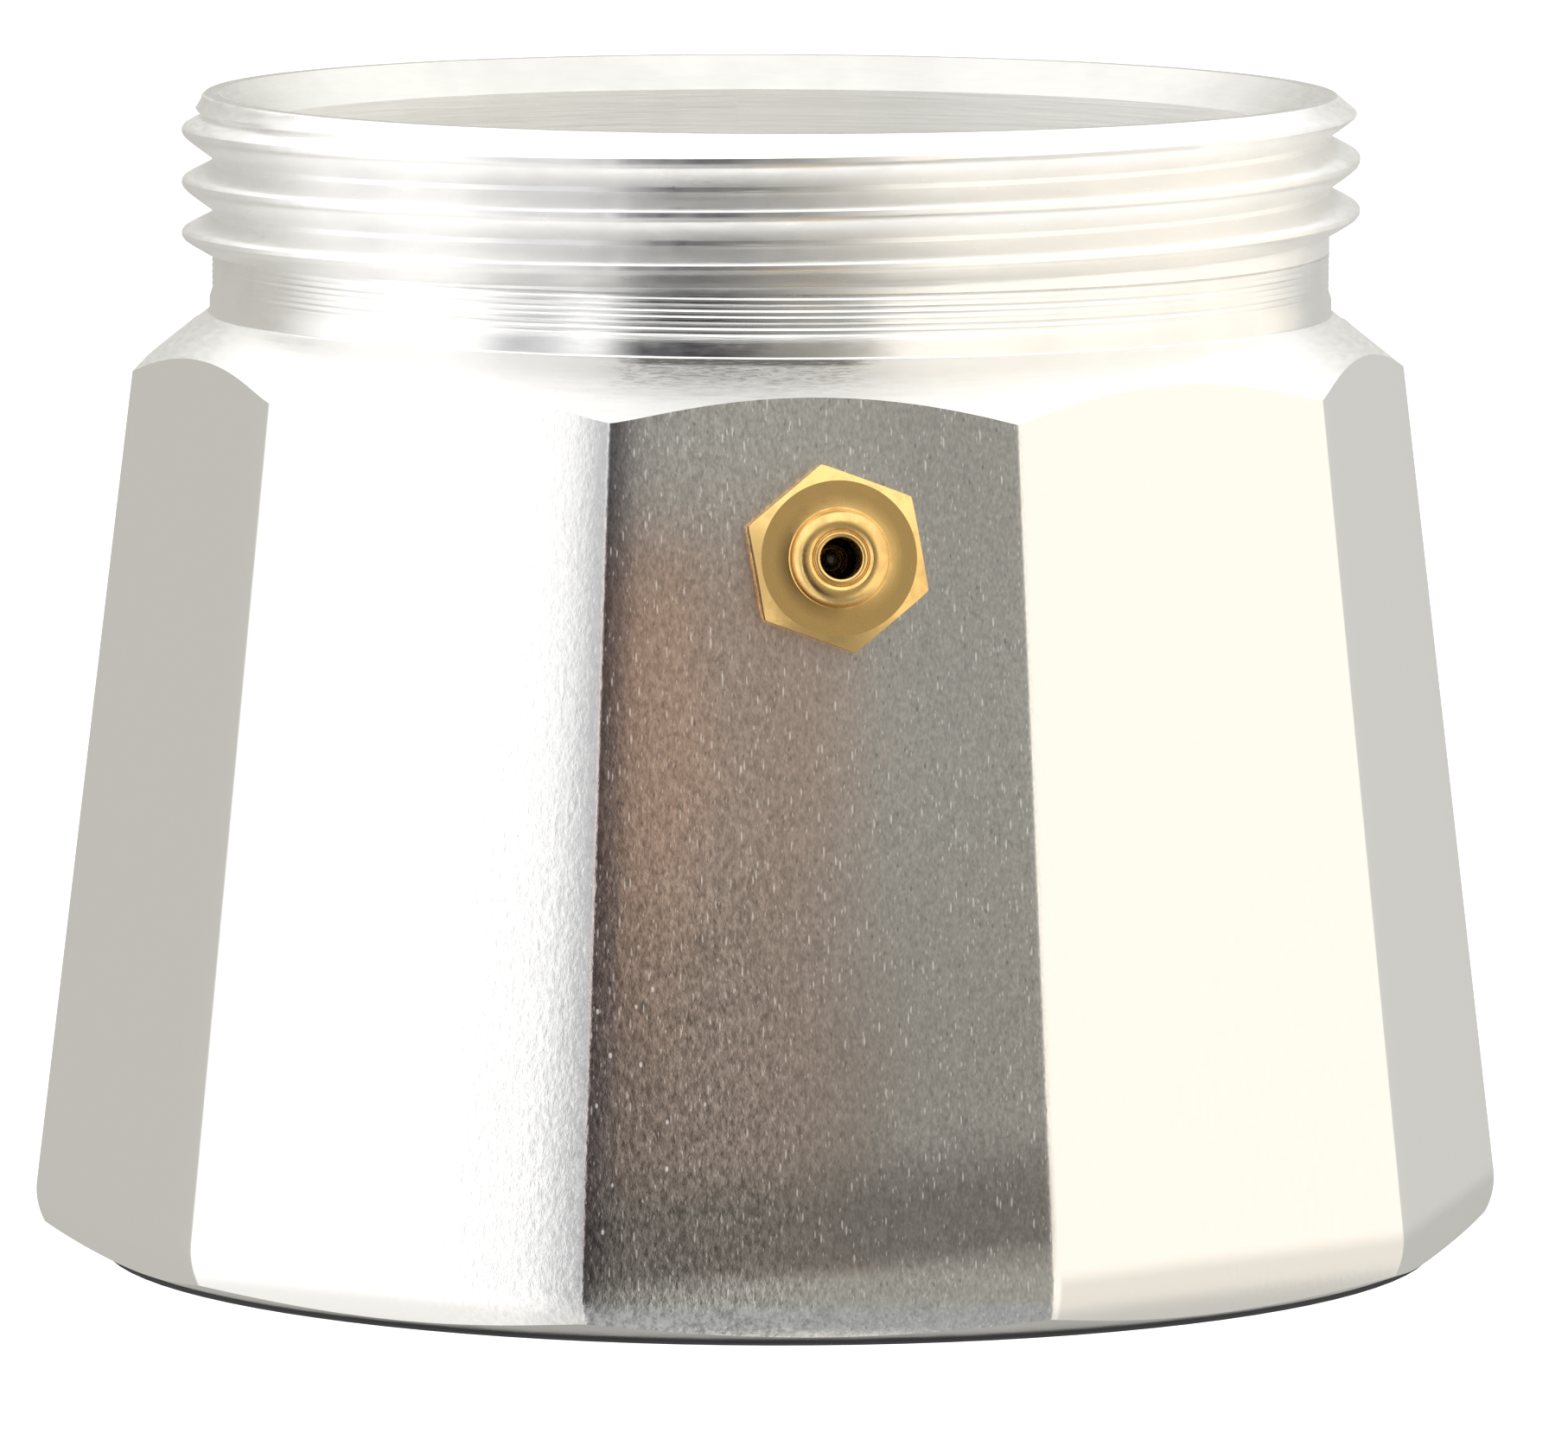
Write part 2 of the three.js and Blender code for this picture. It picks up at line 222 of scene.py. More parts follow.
class NodeTree:
    """A node tree, with short calls for the nodes the finishes and the light are made of."""

    def __init__(self, tree: bpy.types.NodeTree) -> None:
        """Empties a tree and keeps hold of its nodes and links."""
        self.nodes, self.links = tree.nodes, tree.links
        self.nodes.clear()

    def feed(self, socket: Socket, value: Value) -> None:
        """Links a socket to an output, or sets its value if a number or colour is given.

        Args:
            socket: an input of a node.
            value: an output, or the number, colour or vector to set.
        """
        if isinstance(value, bpy.types.NodeSocket):
            self.links.new(value, socket)
        else:
            socket.default_value = value

    def new(self, kind: str, inputs: dict[str | int, Value], **settings: str) -> bpy.types.Node:
        """Adds a node.

        Args:
            kind: its type, without the common beginning ShaderNode.
            inputs: what its inputs get, by name or number.
            settings: values of its own properties.

        Returns:
            The node.
        """
        node = self.nodes.new("ShaderNode" + kind)
        for name, value in settings.items():
            setattr(node, name, value)
        for key, value in inputs.items():
            self.feed(node.inputs[key], value)
        return node

    def math(self, operation: str, *values: Value) -> Socket:
        """The output of a Math node on up to three values."""
        return self.new("Math", dict(enumerate(values)), operation=operation).outputs[0]

    def times(self, *factors: Value) -> Socket:
        """All the factors multiplied together."""
        return reduce(partial(self.math, "MULTIPLY"), factors)

    def plus(self, *terms: Value) -> Socket:
        """All the terms added together."""
        return reduce(partial(self.math, "ADD"), terms)

    def line(self, value: Value, slope: Value, start: Value) -> Socket:
        """The value times a slope plus a start."""
        return self.math("MULTIPLY_ADD", value, slope, start)

    def split(self, vector: Value) -> Sequence[Socket]:
        """The three components of a vector."""
        return self.new("SeparateXYZ", {0: vector}).outputs

    def join(self, *parts: Value) -> Socket:
        """A vector from three components."""
        return self.new("CombineXYZ", dict(enumerate(parts))).outputs[0]

    def scaled(self, vector: Value, factor: Value) -> Socket:
        """A vector times a number."""
        return self.new("VectorMath", {0: vector, "Scale": factor}, operation="SCALE").outputs[0]

    def angle_of(self, vector: Value) -> Socket:
        """The angle of a vector round the boiler in radians, from -Y towards +X."""
        x, y, _ = self.split(vector)
        return self.math("ARCTAN2", x, self.times(y, -1.0))

    def between(
        self, value: Value, low: float, high: float, out_low: float = 0.0, out_high: float = 1.0
    ) -> Socket:
        """Maps a range of a value to another range, with a smooth start and end.

        Args:
            value: what is mapped.
            low: the value that gives out_low; it may be the greater one.
            high: the value that gives out_high.
            out_low: result at and beyond low.
            out_high: result at and beyond high.

        Returns:
            The mapped value.
        """
        limits = {"From Min": low, "From Max": high, "To Min": out_low, "To Max": out_high}
        node = self.new("MapRange", {"Value": value, **limits}, interpolation_type="SMOOTHSTEP")
        return node.outputs["Result"]

    def mix(self, factor: Value, a: Value, b: Value) -> Socket:
        """A blend of two colours."""
        node = self.new("Mix", {"Factor": factor, "A": a, "B": b}, data_type="RGBA")
        return node.outputs["Result"]


class Shader(NodeTree):
    """A material whose Principled shader is fed by patterns on the object's coordinates."""

    def __init__(self, name: str) -> None:
        """Starts an empty material of that name with a Principled shader and its output.

        Args:
            name: the material's name.
        """
        self.material = bpy.data.materials.new(name)
        self.material.use_nodes = True
        super().__init__(self.material.node_tree)
        self.surface = self.nodes.new("ShaderNodeBsdfPrincipled")
        self.new("OutputMaterial", {"Surface": self.surface.outputs["BSDF"]})
        self.place = self.new("TexCoord", {}).outputs["Object"]

    def stretched(self, x: float, y: float, z: float) -> Socket:
        """The object coordinates multiplied by a factor for each axis."""
        return self.new("VectorMath", {0: self.place, 1: (x, y, z)}, operation="MULTIPLY").outputs[0]

    def noise(self, vector: Value, scale: float, detail: float = 2.0, roughness: float = 0.5) -> Socket:
        """A noise texture's value, features about one over scale apart."""
        inputs = {"Vector": vector, "Scale": scale, "Detail": detail, "Roughness": roughness}
        return self.new("TexNoise", inputs).outputs["Fac"]

    def specks(self, vector: Value, scale: float, size: float, share: float) -> Socket:
        """Soft-edged specks at some of the points of a scatter.

        Args:
            vector: coordinates.
            scale: the points are about one over scale apart.
            size: a speck's radius as a share of that distance.
            share: the share of the points that have a speck.

        Returns:
            1 in the middle of a speck and 0 outside.
        """
        node = self.new("TexVoronoi", {"Vector": vector, "Scale": scale})
        chance = self.split(node.outputs["Color"])[0]
        spot = self.between(node.outputs["Distance"], size, size * 0.5)
        return self.times(spot, self.math("LESS_THAN", chance, share))

    def around(self) -> Socket:
        """The angle round the boiler in degrees, from -Y towards +X."""
        return self.times(self.angle_of(self.place), 180 / np.pi)

    def length(self, x: Value, y: Value) -> Socket:
        """The root of the sum of two squares."""
        return self.math("SQRT", self.plus(self.times(x, x), self.times(y, y)))

    def radius(self) -> Socket:
        """The distance from the boiler's axis in metres."""
        x, y, _ = self.split(self.place)
        return self.length(x, y)

    def bump(self, height: Value, depth: float) -> Socket:
        """A normal bent by a height field whose unit is depth millimetres."""
        return self.new("Bump", {"Height": height, "Strength": 1.0, "Distance": depth * MM}).outputs[0]

    def finish(self, **values: Value) -> bpy.types.Material:
        """Feeds the Principled shader's sockets, named with underscores for spaces, and gives the
        material.

        Args:
            values: each socket's value, by its name.

        Returns:
            The material.
        """
        for name, value in values.items():
            self.feed(self.surface.inputs[name.replace("_", " ")], value)
        return self.material


def rgb(red: float, green: float, blue: float) -> tuple[float, float, float, float]:
    """An opaque linear colour."""
    return (red, green, blue, 1.0)


@dataclass(frozen=True)
class Tone:
    """A colour laid onto part of the casting, in most places painted reflection and shade: its colour
    and how far it goes towards it.
    """

    colour: Colour
    share: float = 1.0


@dataclass(frozen=True)
class PolishedCasting:
    """The facets: die-cast aluminium polished upright, with fine relief that grows towards the
    foot, short upright flecks whose lighter colour is partly painted glints, and painted reflections
    and shade on the valve's facet and its neighbours."""

    colour: Colour = (0.88, 0.875, 0.86)
    roughness: float = 0.22
    relief_depth: float = 0.016
    # Colour of the flecks: lighter than the casting, partly painted glints.
    fleck_and_glint_colour: Colour = (0.97, 0.97, 0.96)
    fleck_share: float = 0.7
    fleck_roughness: float = 0.6
    pit_colour: Colour = (0.25, 0.24, 0.23)
    pit_share: float = 0.55
    top: float = 0.050
    facet_edge: float = 18.0
    next_corner: float = 90.0
    wander: float = 4.0
    band_climb: float = 0.07
    # Painted reflections of the brass valve: brownish over the facet's upper part, reddish lower down
    # beside the valve.
    warm_painted_reflection: Tone = Tone((0.81, 0.62, 0.53), 0.85)
    red: Tone = Tone((1.0, 0.71, 0.57), 0.85)
    # Painted reflections of the dark surroundings in front: darker and browner low on the left, neutral
    # grey on the right, darker towards the foot.
    left: Tone = Tone((0.40, 0.31, 0.285), 0.45)
    right: Tone = Tone((0.79, 0.785, 0.77))
    foot: Tone = Tone((0.53, 0.46, 0.43), 0.6)
    # Painted reflection: a dark strip along the valve facet's left edge.
    strip_painted_reflection: Tone = Tone((0.38, 0.36, 0.40), 0.4)
    # Painted shade low on the facets to the right of the valve's, over the foot's fillet.
    toe_painted_shade: Tone = Tone((0.56, 0.56, 0.55), 0.6)
    # Painted reflection: greyer low down on the facet left of the valve's, next to its edge.
    edge: Tone = Tone((0.60, 0.60, 0.595), 0.75)
    band: Tone = Tone((0.36, 0.345, 0.335), 0.75)

    def relief_share(self, s: Shader) -> Socket:
        """How strong the relief is: greatest low down beside the valve facet's left edge.

        Args:
            s: the material's tree.

        Returns:
            A share from 0 to 1.
        """
        low = s.between(s.split(s.place)[2], self.top, 0.004, 0.4, 1.0)
        off = s.math("ABSOLUTE", s.plus(s.around(), self.facet_edge - 3.0))
        patchy = s.between(s.noise(s.place, 45.0, 1.0), 0.35, 0.65, 0.12, 0.4)
        return s.times(low, s.math("MAXIMUM", s.between(off, 26.0, 5.0), patchy))

    def rough_side(self, s: Shader) -> Socket:
        """1 on the valve's facet, less on the edge of the one to its left, 0 on the others.

        Args:
            s: the material's tree.

        Returns:
            A share from 0 to 1.
        """
        angle = s.around()
        beside = s.between(angle, -self.facet_edge - 16.0, -self.facet_edge - 2.0, 0.0, 0.3)
        started = s.between(angle, -self.facet_edge - 0.3, -self.facet_edge)
        ended = s.between(angle, self.facet_edge + 0.5, self.facet_edge - 0.5)
        return s.times(s.math("MAXIMUM", beside, started), ended)

    def reflection_and_shade_tones(self, s: Shader) -> list[tuple[Tone, Socket]]:
        """Where colour is painted on the valve's facet and its neighbours: painted reflections of the
        brass valve and of the dark surroundings in front, painted shade low on the facets to the right,
        and a darker band low on the valve's facet.

        Angles are degrees round the boiler and heights metres; the limits across the facet
        wander by a few degrees with a noise.

        Args:
            s: the material's tree.

        Returns:
            Each tone with its mask, the lowest layer first.
        """
        angle, height = s.around(), s.split(s.place)[2]
        side = self.facet_edge
        on_facet = s.between(s.math("ABSOLUTE", angle), side + 0.6, side - 0.6)
        across = s.plus(angle, s.line(s.noise(s.place, 70.0, 2.0), 2 * self.wander, -self.wander))
        tilted = s.line(angle, -self.band_climb * MM, height)
        above_foot = s.between(height, 0.0036, 0.0052)
        facet = s.times(on_facet, above_foot)
        low = s.between(height, self.top, 0.008, 0.5, 1.0)
        passed = s.between(angle, self.next_corner + 0.2, self.next_corner - 0.2)
        beside = s.times(s.between(angle, side + 0.4, side + 0.8), passed)
        near_edge = s.between(angle, -side - 6.5, -side - 0.6)
        near_edge = s.times(near_edge, s.between(angle, -side, -side - 0.3))
        high, left_height = s.between(height, self.top, 0.040), s.between(height, 0.030, 0.008)
        red_height = s.times(s.between(height, 0.006, 0.020), s.between(height, 0.047, 0.038))
        foot_across = s.between(across, 12.0, 3.0, 0.5, 1.0)
        band_height = s.times(s.between(tilted, 0.0118, 0.0075), s.between(tilted, 0.0036, 0.0052))
        return [
            # Painted reflection: brownish over the upper part of the valve's facet.
            (self.warm_painted_reflection, s.times(facet, s.between(across, 12.0, -4.0), high)),
            # Painted reflection of the brass valve: a reddish patch beside it.
            (self.red, s.times(on_facet, s.between(across, -8.0, -14.0), red_height)),
            # Painted reflection: darker and browner over the lower left of the facet.
            (self.left, s.times(facet, s.between(across, -5.0, -15.0), left_height)),
            # Painted reflection: neutral grey over the right of the facet.
            (self.right, s.times(facet, s.between(across, 1.0, 11.0))),
            # Painted reflection, darker towards the foot.
            (self.foot, s.times(facet, s.between(height, 0.036, 0.010), foot_across)),
            # Painted reflection: a dark strip along the facet's left edge.
            (self.strip_painted_reflection, s.times(facet, s.between(angle, 2.6 - side, 1.2 - side))),
            # Painted shade low on the facets to the right, over the fillet.
            (self.toe_painted_shade, s.times(beside, s.between(height, 0.0044, 0.0032))),
            # Painted reflection: greyer low down next to the valve facet's edge.
            (self.edge, s.times(near_edge, low)),
            (self.band, s.times(on_facet, band_height)),
        ]

    def material(self) -> bpy.types.Material:
        """The node material of the facets.

        Returns:
            The material.
        """
        s = Shader("polished_casting")
        share, rough = self.relief_share(s), self.rough_side(s)
        peel = s.noise(s.stretched(1.0, 1.0, 0.6), 2700.0, 3.0, 0.65)
        drawn = s.noise(s.stretched(1.0, 1.0, 0.22), 3400.0, 2.0)
        grain = s.noise(s.stretched(1.0, 1.0, 0.5), 6500.0, 1.0)
        flecks = s.specks(s.stretched(1.0, 1.0, 0.14), 3300.0, 0.21, 0.6)
        small = s.specks(s.stretched(1.0, 1.0, 0.25), 5200.0, 0.26, 0.5)
        bright = s.specks(s.stretched(1.0, 1.0, 0.55), 1400.0, 0.16, 0.5)
        pits = s.specks(s.stretched(1.0, 1.0, 0.4), 2700.0, 0.20, 0.3)
        marks = s.math("MAXIMUM", s.times(flecks, 0.62), s.times(small, 0.45))
        marks = s.times(marks, s.line(rough, 0.85, 0.15))
        marks = s.math("MAXIMUM", marks, s.times(bright, s.between(share, 0.55, 0.95)))
        mottle = s.plus(s.times(grain, 0.6), s.times(s.line(peel, 1.9, -0.95), share), -0.36)
        colour = rgb(*self.colour)
        # Lays the painted reflections and shade, and the darker band, over the casting's colour.
        for tone, mask in self.reflection_and_shade_tones(s):
            colour = s.mix(s.times(mask, tone.share), colour, rgb(*tone.colour))
        colour = s.scaled(colour, s.line(mottle, s.line(rough, 1.0, 0.04), 1.0))
        colour = s.mix(s.times(pits, rough, self.pit_share), colour, rgb(*self.pit_colour))
        height = s.plus(
            s.times(peel, share, 2.4), s.times(drawn, s.line(share, 0.28, 0.05)), s.times(marks, 0.10)
        )
        return s.finish(
            # The flecks lighten the colour as partly painted glints; their bump and roughness are
            # relief.
            Base_Color=s.mix(s.times(marks, self.fleck_share), colour, rgb(*self.fleck_and_glint_colour)),
            Metallic=1.0,
            Roughness=s.line(marks, self.fleck_roughness - self.roughness, self.roughness),
            Normal=s.bump(height, self.relief_depth),
        )


@dataclass(frozen=True)
class TurnedAluminium:
    """Shoulder, neck, rim and foot: bright aluminium with the lathe tool's fine rings; where asked,
    torn tool marks and a painted dark reflection at the front of the shoulder.
    """

    name: str = "turned_aluminium"
    colour: Colour = (0.90, 0.895, 0.88)
    roughness: float = 0.26
    roughness_spread: float = 0.22
    ring_scale: float = 9000.0
    ring_depth: float = 0.006
    chatter: float = 0.5
    metal: float = 1.0
    wear: float = 0.6
    worn_share: float = 0.86
    tearing_and_painted_reflection: float = 0.0
    # Colour of the torn tool marks and of the painted dark reflection at the neck's foot.
    torn_and_reflection_colour: Colour = (0.16, 0.15, 0.14)

    def torn_marks_and_painted_reflection(self, s: Shader) -> Socket:
        """A dark band close to the neck in front, a painted reflection that carries the neck's dark
        reflection on to the shoulder, and a few ragged tool marks that fade out down the shoulder, all
        on the front only.

        Args:
            s: the material's tree.

        Returns:
            A share from 0 to the strength the material gives it.
        """
        degrees, radius = s.around(), s.radius()
        ragged = s.noise(s.join(s.times(degrees, 0.00006), radius, 0.0), 11000.0, 2.0, 0.6)
        place = s.plus(degrees, s.line(ragged, 6.0, -3.0))
        front = s.times(s.between(place, -20.0, -16.0), s.between(place, 7.0, 3.0))
        # Painted reflection: a dark band round the foot of the neck, in front.
        band = s.times(s.between(radius, 0.03260, 0.03240), s.between(ragged, 0.25, 0.5, 0.45, 1.0))
        lines = s.times(s.between(ragged, 0.50, 0.58), s.between(radius, 0.0348, 0.0328))
        return s.times(front, s.math("MAXIMUM", band, s.times(lines, 0.55)), self.tearing_and_painted_reflection)

    def material(self) -> bpy.types.Material:
        """The node material of the turned surfaces.

        Returns:
            The material.
        """
        s = Shader(self.name)
        z, radius = s.split(s.place)[2], s.radius()
        angle = s.angle_of(s.place)
        swept = s.join(s.times(angle, 0.0009), radius, z)
        rings = s.noise(swept, self.ring_scale, 2.0, 0.7)
        wide_rings = s.noise(swept, self.ring_scale * 0.16, 1.0)
        torn = s.noise(s.join(s.times(angle, 0.009), radius, z), 2600.0, 2.0)
        worn = s.between(s.noise(s.place, 160.0, 3.0), 0.4, 0.7)
        darker = rgb(*(self.worn_share * part for part in self.colour))
        colour = s.mix(s.times(worn, self.wear), rgb(*self.colour), darker)
        # Torn tool marks and a painted dark reflection at the front.
        if self.tearing_and_painted_reflection:
            colour = s.mix(self.torn_marks_and_painted_reflection(s), colour, rgb(*self.torn_and_reflection_colour))
        height = s.plus(rings, s.times(wide_rings, 2.5), s.times(torn, self.chatter))
        return s.finish(
            Base_Color=colour,
            Metallic=self.metal,
            Roughness=s.line(torn, self.roughness_spread, self.roughness - 0.08),
            Normal=s.bump(height, self.ring_depth),
        )


@dataclass(frozen=True)
class TurnedBrass:
    """The valve: turned brass, a little tarnished in its recesses."""

    colour: Colour = (0.92, 0.62, 0.24)
    tarnish: Colour = (0.60, 0.38, 0.14)
    roughness: float = 0.23
    tarnish_roughness: float = 0.22
    ring_depth: float = 0.002

    def material(self, axes: Placement) -> bpy.types.Material:
        """The node material of the valve, with tool rings about the valve's axis.

        Args:
            axes: the valve's own axes.

        Returns:
            The material.
        """
        s = Shader("turned_brass")
        turn = Matrix([axes.right, axes.up, axes.out]).transposed().to_euler()
        inputs = {"Vector": s.place, "Location": axes.origin * MM, "Rotation": turn}
        x, y, z = s.split(s.new("Mapping", inputs, vector_type="TEXTURE").outputs[0])
        swept = s.join(s.times(s.math("ARCTAN2", x, y), 0.0001), s.length(x, y), z)
        rings = s.noise(swept, 14000.0, 2.0, 0.6)
        stain = s.between(s.noise(s.place, 700.0, 4.0, 0.65), 0.42, 0.68)
        speck = s.specks(s.place, 3000.0, 0.16, 0.3)
        dull = s.math("MAXIMUM", s.times(stain, 0.55), s.times(speck, 0.4))
        return s.finish(
            Base_Color=s.mix(dull, rgb(*self.colour), rgb(*self.tarnish)),
            Metallic=1.0,
            Roughness=s.line(dull, self.tarnish_roughness, self.roughness),
            Normal=s.bump(s.plus(rings, s.times(stain, 0.6)), self.ring_depth),
        )


@dataclass(frozen=True)
class Steel:
    """Stainless steel, for the ball and the spring's wire; the brightness sets how light its colour is,
    and the ball's low value is painted shade.
    """

    name: str
    roughness: float
    mark_scale: float
    brightness: float = 0.7

    def material(self) -> bpy.types.Material:
        """The node material of a steel piece.

        Returns:
            The material.
        """
        light = self.brightness
        s = Shader(self.name)
        marks = s.noise(s.place, self.mark_scale, 3.0)
        dull = rgb(0.86 * light, 0.86 * light, 0.87 * light)
        return s.finish(
            Base_Color=s.mix(marks, dull, rgb(light, light, light)),
            Metallic=1.0,
            Roughness=s.between(marks, 0.2, 0.8, self.roughness, self.roughness + 0.1),
            Normal=s.bump(marks, 0.001),
        )


@dataclass(frozen=True)
class PressedFibre:
    """Red vulcanised fibre of the sealing washer."""

    colour: Colour = (0.30, 0.07, 0.045)
    worn_colour: Colour = (0.42, 0.13, 0.09)

    def material(self) -> bpy.types.Material:
        """The node material of the washer.

        Returns:
            The material.
        """
        s = Shader("pressed_fibre")
        felt = s.noise(s.place, 5000.0, 4.0, 0.7)
        return s.finish(
            Base_Color=s.mix(felt, rgb(*self.colour), rgb(*self.worn_colour)),
            Roughness=s.between(felt, 0.2, 0.8, 0.6, 0.85),
            Normal=s.bump(felt, 0.01),
        )


# ------------------------------------------------------------------ boiler


Band = tuple[np.ndarray, np.ndarray, "Finish"]
HALVINGS = 40
PASSES = 12
LOWEST_FILLET_TURN = np.radians(-75.0)
THREAD_TURNS = range(-3, 4)


class Finish(Enum):
    """Which material a band of the boiler's surface has."""

    CASTING = 0
    TURNED = 1
    INSIDE = 2
    FOOT = 3
    BORED = 4
    THREAD = 5
    SHOULDER = 6
    SEAT = 7


@dataclass
class Boiler:
    """The vessel: ten leaning facets, turned shoulder, threaded neck, rim and hollow inside."""

    facets: int = 10
    base_corner_radius: float = 42.54
    shoulder_corner_radius: float = 36.5
    shoulder_slope: float = 38.6
    base_fillet: float = 4.2
    base_fillet_top: float = 3.9
    foot_inset: float = 3.07
    foot_slope: float = 20.0
    wall: float = 3.0
    floor: float = 4.0
    floor_fillet: float = 5.0
    neck_radius: float = 31.9
    neck_height: float = 12.2
    neck_wall: float = 2.3
    mouth_chamfer: float = 1.9
    rim_chamfer_slope: float = 50.0
    rim_edge_radius: float = 32.3
    rim_bevel: float = 0.6
    rim_bevel_height: float = 0.9
    rim_bevel_fall: float = 2.0
    thread_pitch: float = 2.95
    crest_radius: float = 33.63
    crest_width: float = 0.24
    upper_flank: float = 0.84
    lower_flank: float = 1.22
    crest_rounding: float = 0.2
    last_lower_flank: float = 0.95
    first_crest_drop: float = 1.33
    turns_down: float = 2.42
    fade_turns: float = 0.14
    last_turn_slack: float = 0.04
    flank_reach: float = 1.18
    crest_raggedness: float = 0.03
    thread_foot: float = 9.0
    corner_wear: float = 0.20
    corner_wear_range: tuple[float, float] = (0.1, 0.7)
    front_corner_wear: tuple[float, float] = (1.0, 0.05)
    wear_power: float = 9.0
    edge_sharpness: float = 55.0
    groove_count: int = 7
    groove_pitch: float = 0.335
    groove_depth: float = 0.07
    groove_foot_drop: float = 11.2
    ledge_width: float = 0.14
    ledge_height: float = 0.45
    neck_blend: float = 0.25
    machined_radius: float = 33.1
    machined_step: float = 0.07
    machined_edge: float = 0.04
    columns_per_facet: int = 36
    height: float = field(init=False)

    def __post_init__(self) -> None:
        """Reads the height from the frame and works out the columns."""
        self.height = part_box("boiler_body")[1][2] / MM
        half = np.pi / self.facets
        share = np.linspace(-1.0, 1.0, self.columns_per_facet + 1)[:-1]
        within = half * np.sin(share * np.pi / 2)
        centres = 2 * half * np.arange(self.facets)[:, None]
        self.angle = np.append((centres + within).ravel(), 2 * np.pi - half)
        self.across = np.append(np.tile(within, self.facets), -half)
        self.columns = len(self.angle)
        worn = np.random.default_rng(5).uniform(*self.corner_wear_range, self.facets)
        worn[:2] = self.front_corner_wear
        corner = np.repeat(np.arange(self.facets), self.columns_per_facet) + (self.across[:-1] > 0)
        self.worn = np.append(worn[corner % self.facets], worn[0]) * self.corner_wear
        self.neck_foot = self.height - self.neck_height
        self.slope = np.tan(np.radians(self.shoulder_slope))
        drop = (self.shoulder_corner_radius - self.neck_radius) * self.slope
        self.taper = (self.base_corner_radius - self.shoulder_corner_radius) / (self.neck_foot - drop)
        self.flat_share = np.cos(half)
        self.lean = np.arctan(self.taper * self.flat_share)

    def flat_radius(self, z: np.ndarray | float) -> np.ndarray | float:
        """The distance from the axis to a facet's middle at height z: a straight taper."""
        return (self.base_corner_radius - self.taper * z) * self.flat_share

    def facet_radius(self, flat: np.ndarray) -> np.ndarray:
        """A faceted section's radius in each column.

        The facet's distance less the wear of the nearer corner, which grows with a power of the
        place across the facet, over the cosine of the angle from the facet's middle; the corner
        is the rounded least of that and its neighbour's.

        Args:
            flat: distance from the axis to the facet's middle, columns by rows.

        Returns:
            The radius, columns by rows.
        """
        half = np.pi / self.facets
        angle = self.across[:, None]
        place = np.abs(np.tan(angle) / np.tan(half))
        polished = flat - self.worn[:, None] * place**self.wear_power
        own = polished / np.cos(angle)
        other = polished / np.cos(2 * half - np.abs(angle))
        return soft_least(own, other, self.edge_sharpness)

    def foot(self) -> tuple[np.ndarray, np.ndarray]:
        """The flat turned foot: from the axis out to its edge, at height 0."""
        radius = spread(0.0, self.flat_radius(0.0) - self.foot_inset, 8, self.columns)
        return radius, np.zeros_like(radius)

    def fillet_point(self, turn: np.ndarray) -> tuple[np.ndarray, np.ndarray]:
        """A point of the facets' foot fillet: an arc tangent to the leaning facet.

        Args:
            turn: angle above the horizontal round the arc's centre, columns by rows.

        Returns:
            Radius and height, columns by rows.
        """
        centre = self.flat_radius(self.base_fillet_top) - self.base_fillet * np.cos(self.lean)
        middle = self.base_fillet_top - self.base_fillet * np.sin(self.lean)
        radius = self.facet_radius(centre + self.base_fillet * np.cos(turn))
        return radius, middle + self.base_fillet * np.sin(turn)

    def fillet_start(self) -> np.ndarray:
        """The fillet's angle in each column where it runs into the relief round the foot, found
        by halving the range of angles in which it passes the relief's cone.

        Returns:
            One angle a column, in radians.
        """
        foot_edge = self.flat_radius(0.0) - self.foot_inset
        cone = np.tan(np.radians(self.foot_slope))
        low = np.full((self.columns, 1), LOWEST_FILLET_TURN)
        high = np.full((self.columns, 1), self.lean)
        for _ in range(HALVINGS):
            turn = (low + high) / 2
            radius, height = self.fillet_point(turn)
            outside = height < (radius - foot_edge) * cone
            low = np.where(outside, turn, low)
            high = np.where(outside, high, turn)
        return high[:, 0]

    def relief_and_fillet(self) -> list[Band]:
        """The turned relief round the foot, then the fillet up to the facets.

        Returns:
            Bands of radius and height with their finish.
        """
        start = self.fillet_start()
        foot_edge = self.flat_radius(0.0) - self.foot_inset
        meet, _ = self.fillet_point(start[:, None])
        relief = spread(foot_edge, meet[:, 0], 4, self.columns)
        relief_height = (relief - foot_edge) * np.tan(np.radians(self.foot_slope))
        turn = spread(start, self.lean, 11, self.columns)
        radius, height = self.fillet_point(turn)
        return [(relief, relief_height, Finish.FOOT), (radius, height, Finish.CASTING)]

    def facet_top(self) -> np.ndarray:
        """Height at which each column's facet meets the shoulder's cone: the facet's radius at a
        height gives the cone's height at that radius, again and again until both agree.

        Returns:
            One height a column.
        """
        height = np.full(self.columns, self.neck_foot)
        for _ in range(PASSES):
            radius = self.facet_radius(self.flat_radius(height)[:, None])[:, 0]
            height = self.neck_foot - (radius - self.neck_radius) * self.slope
        return height

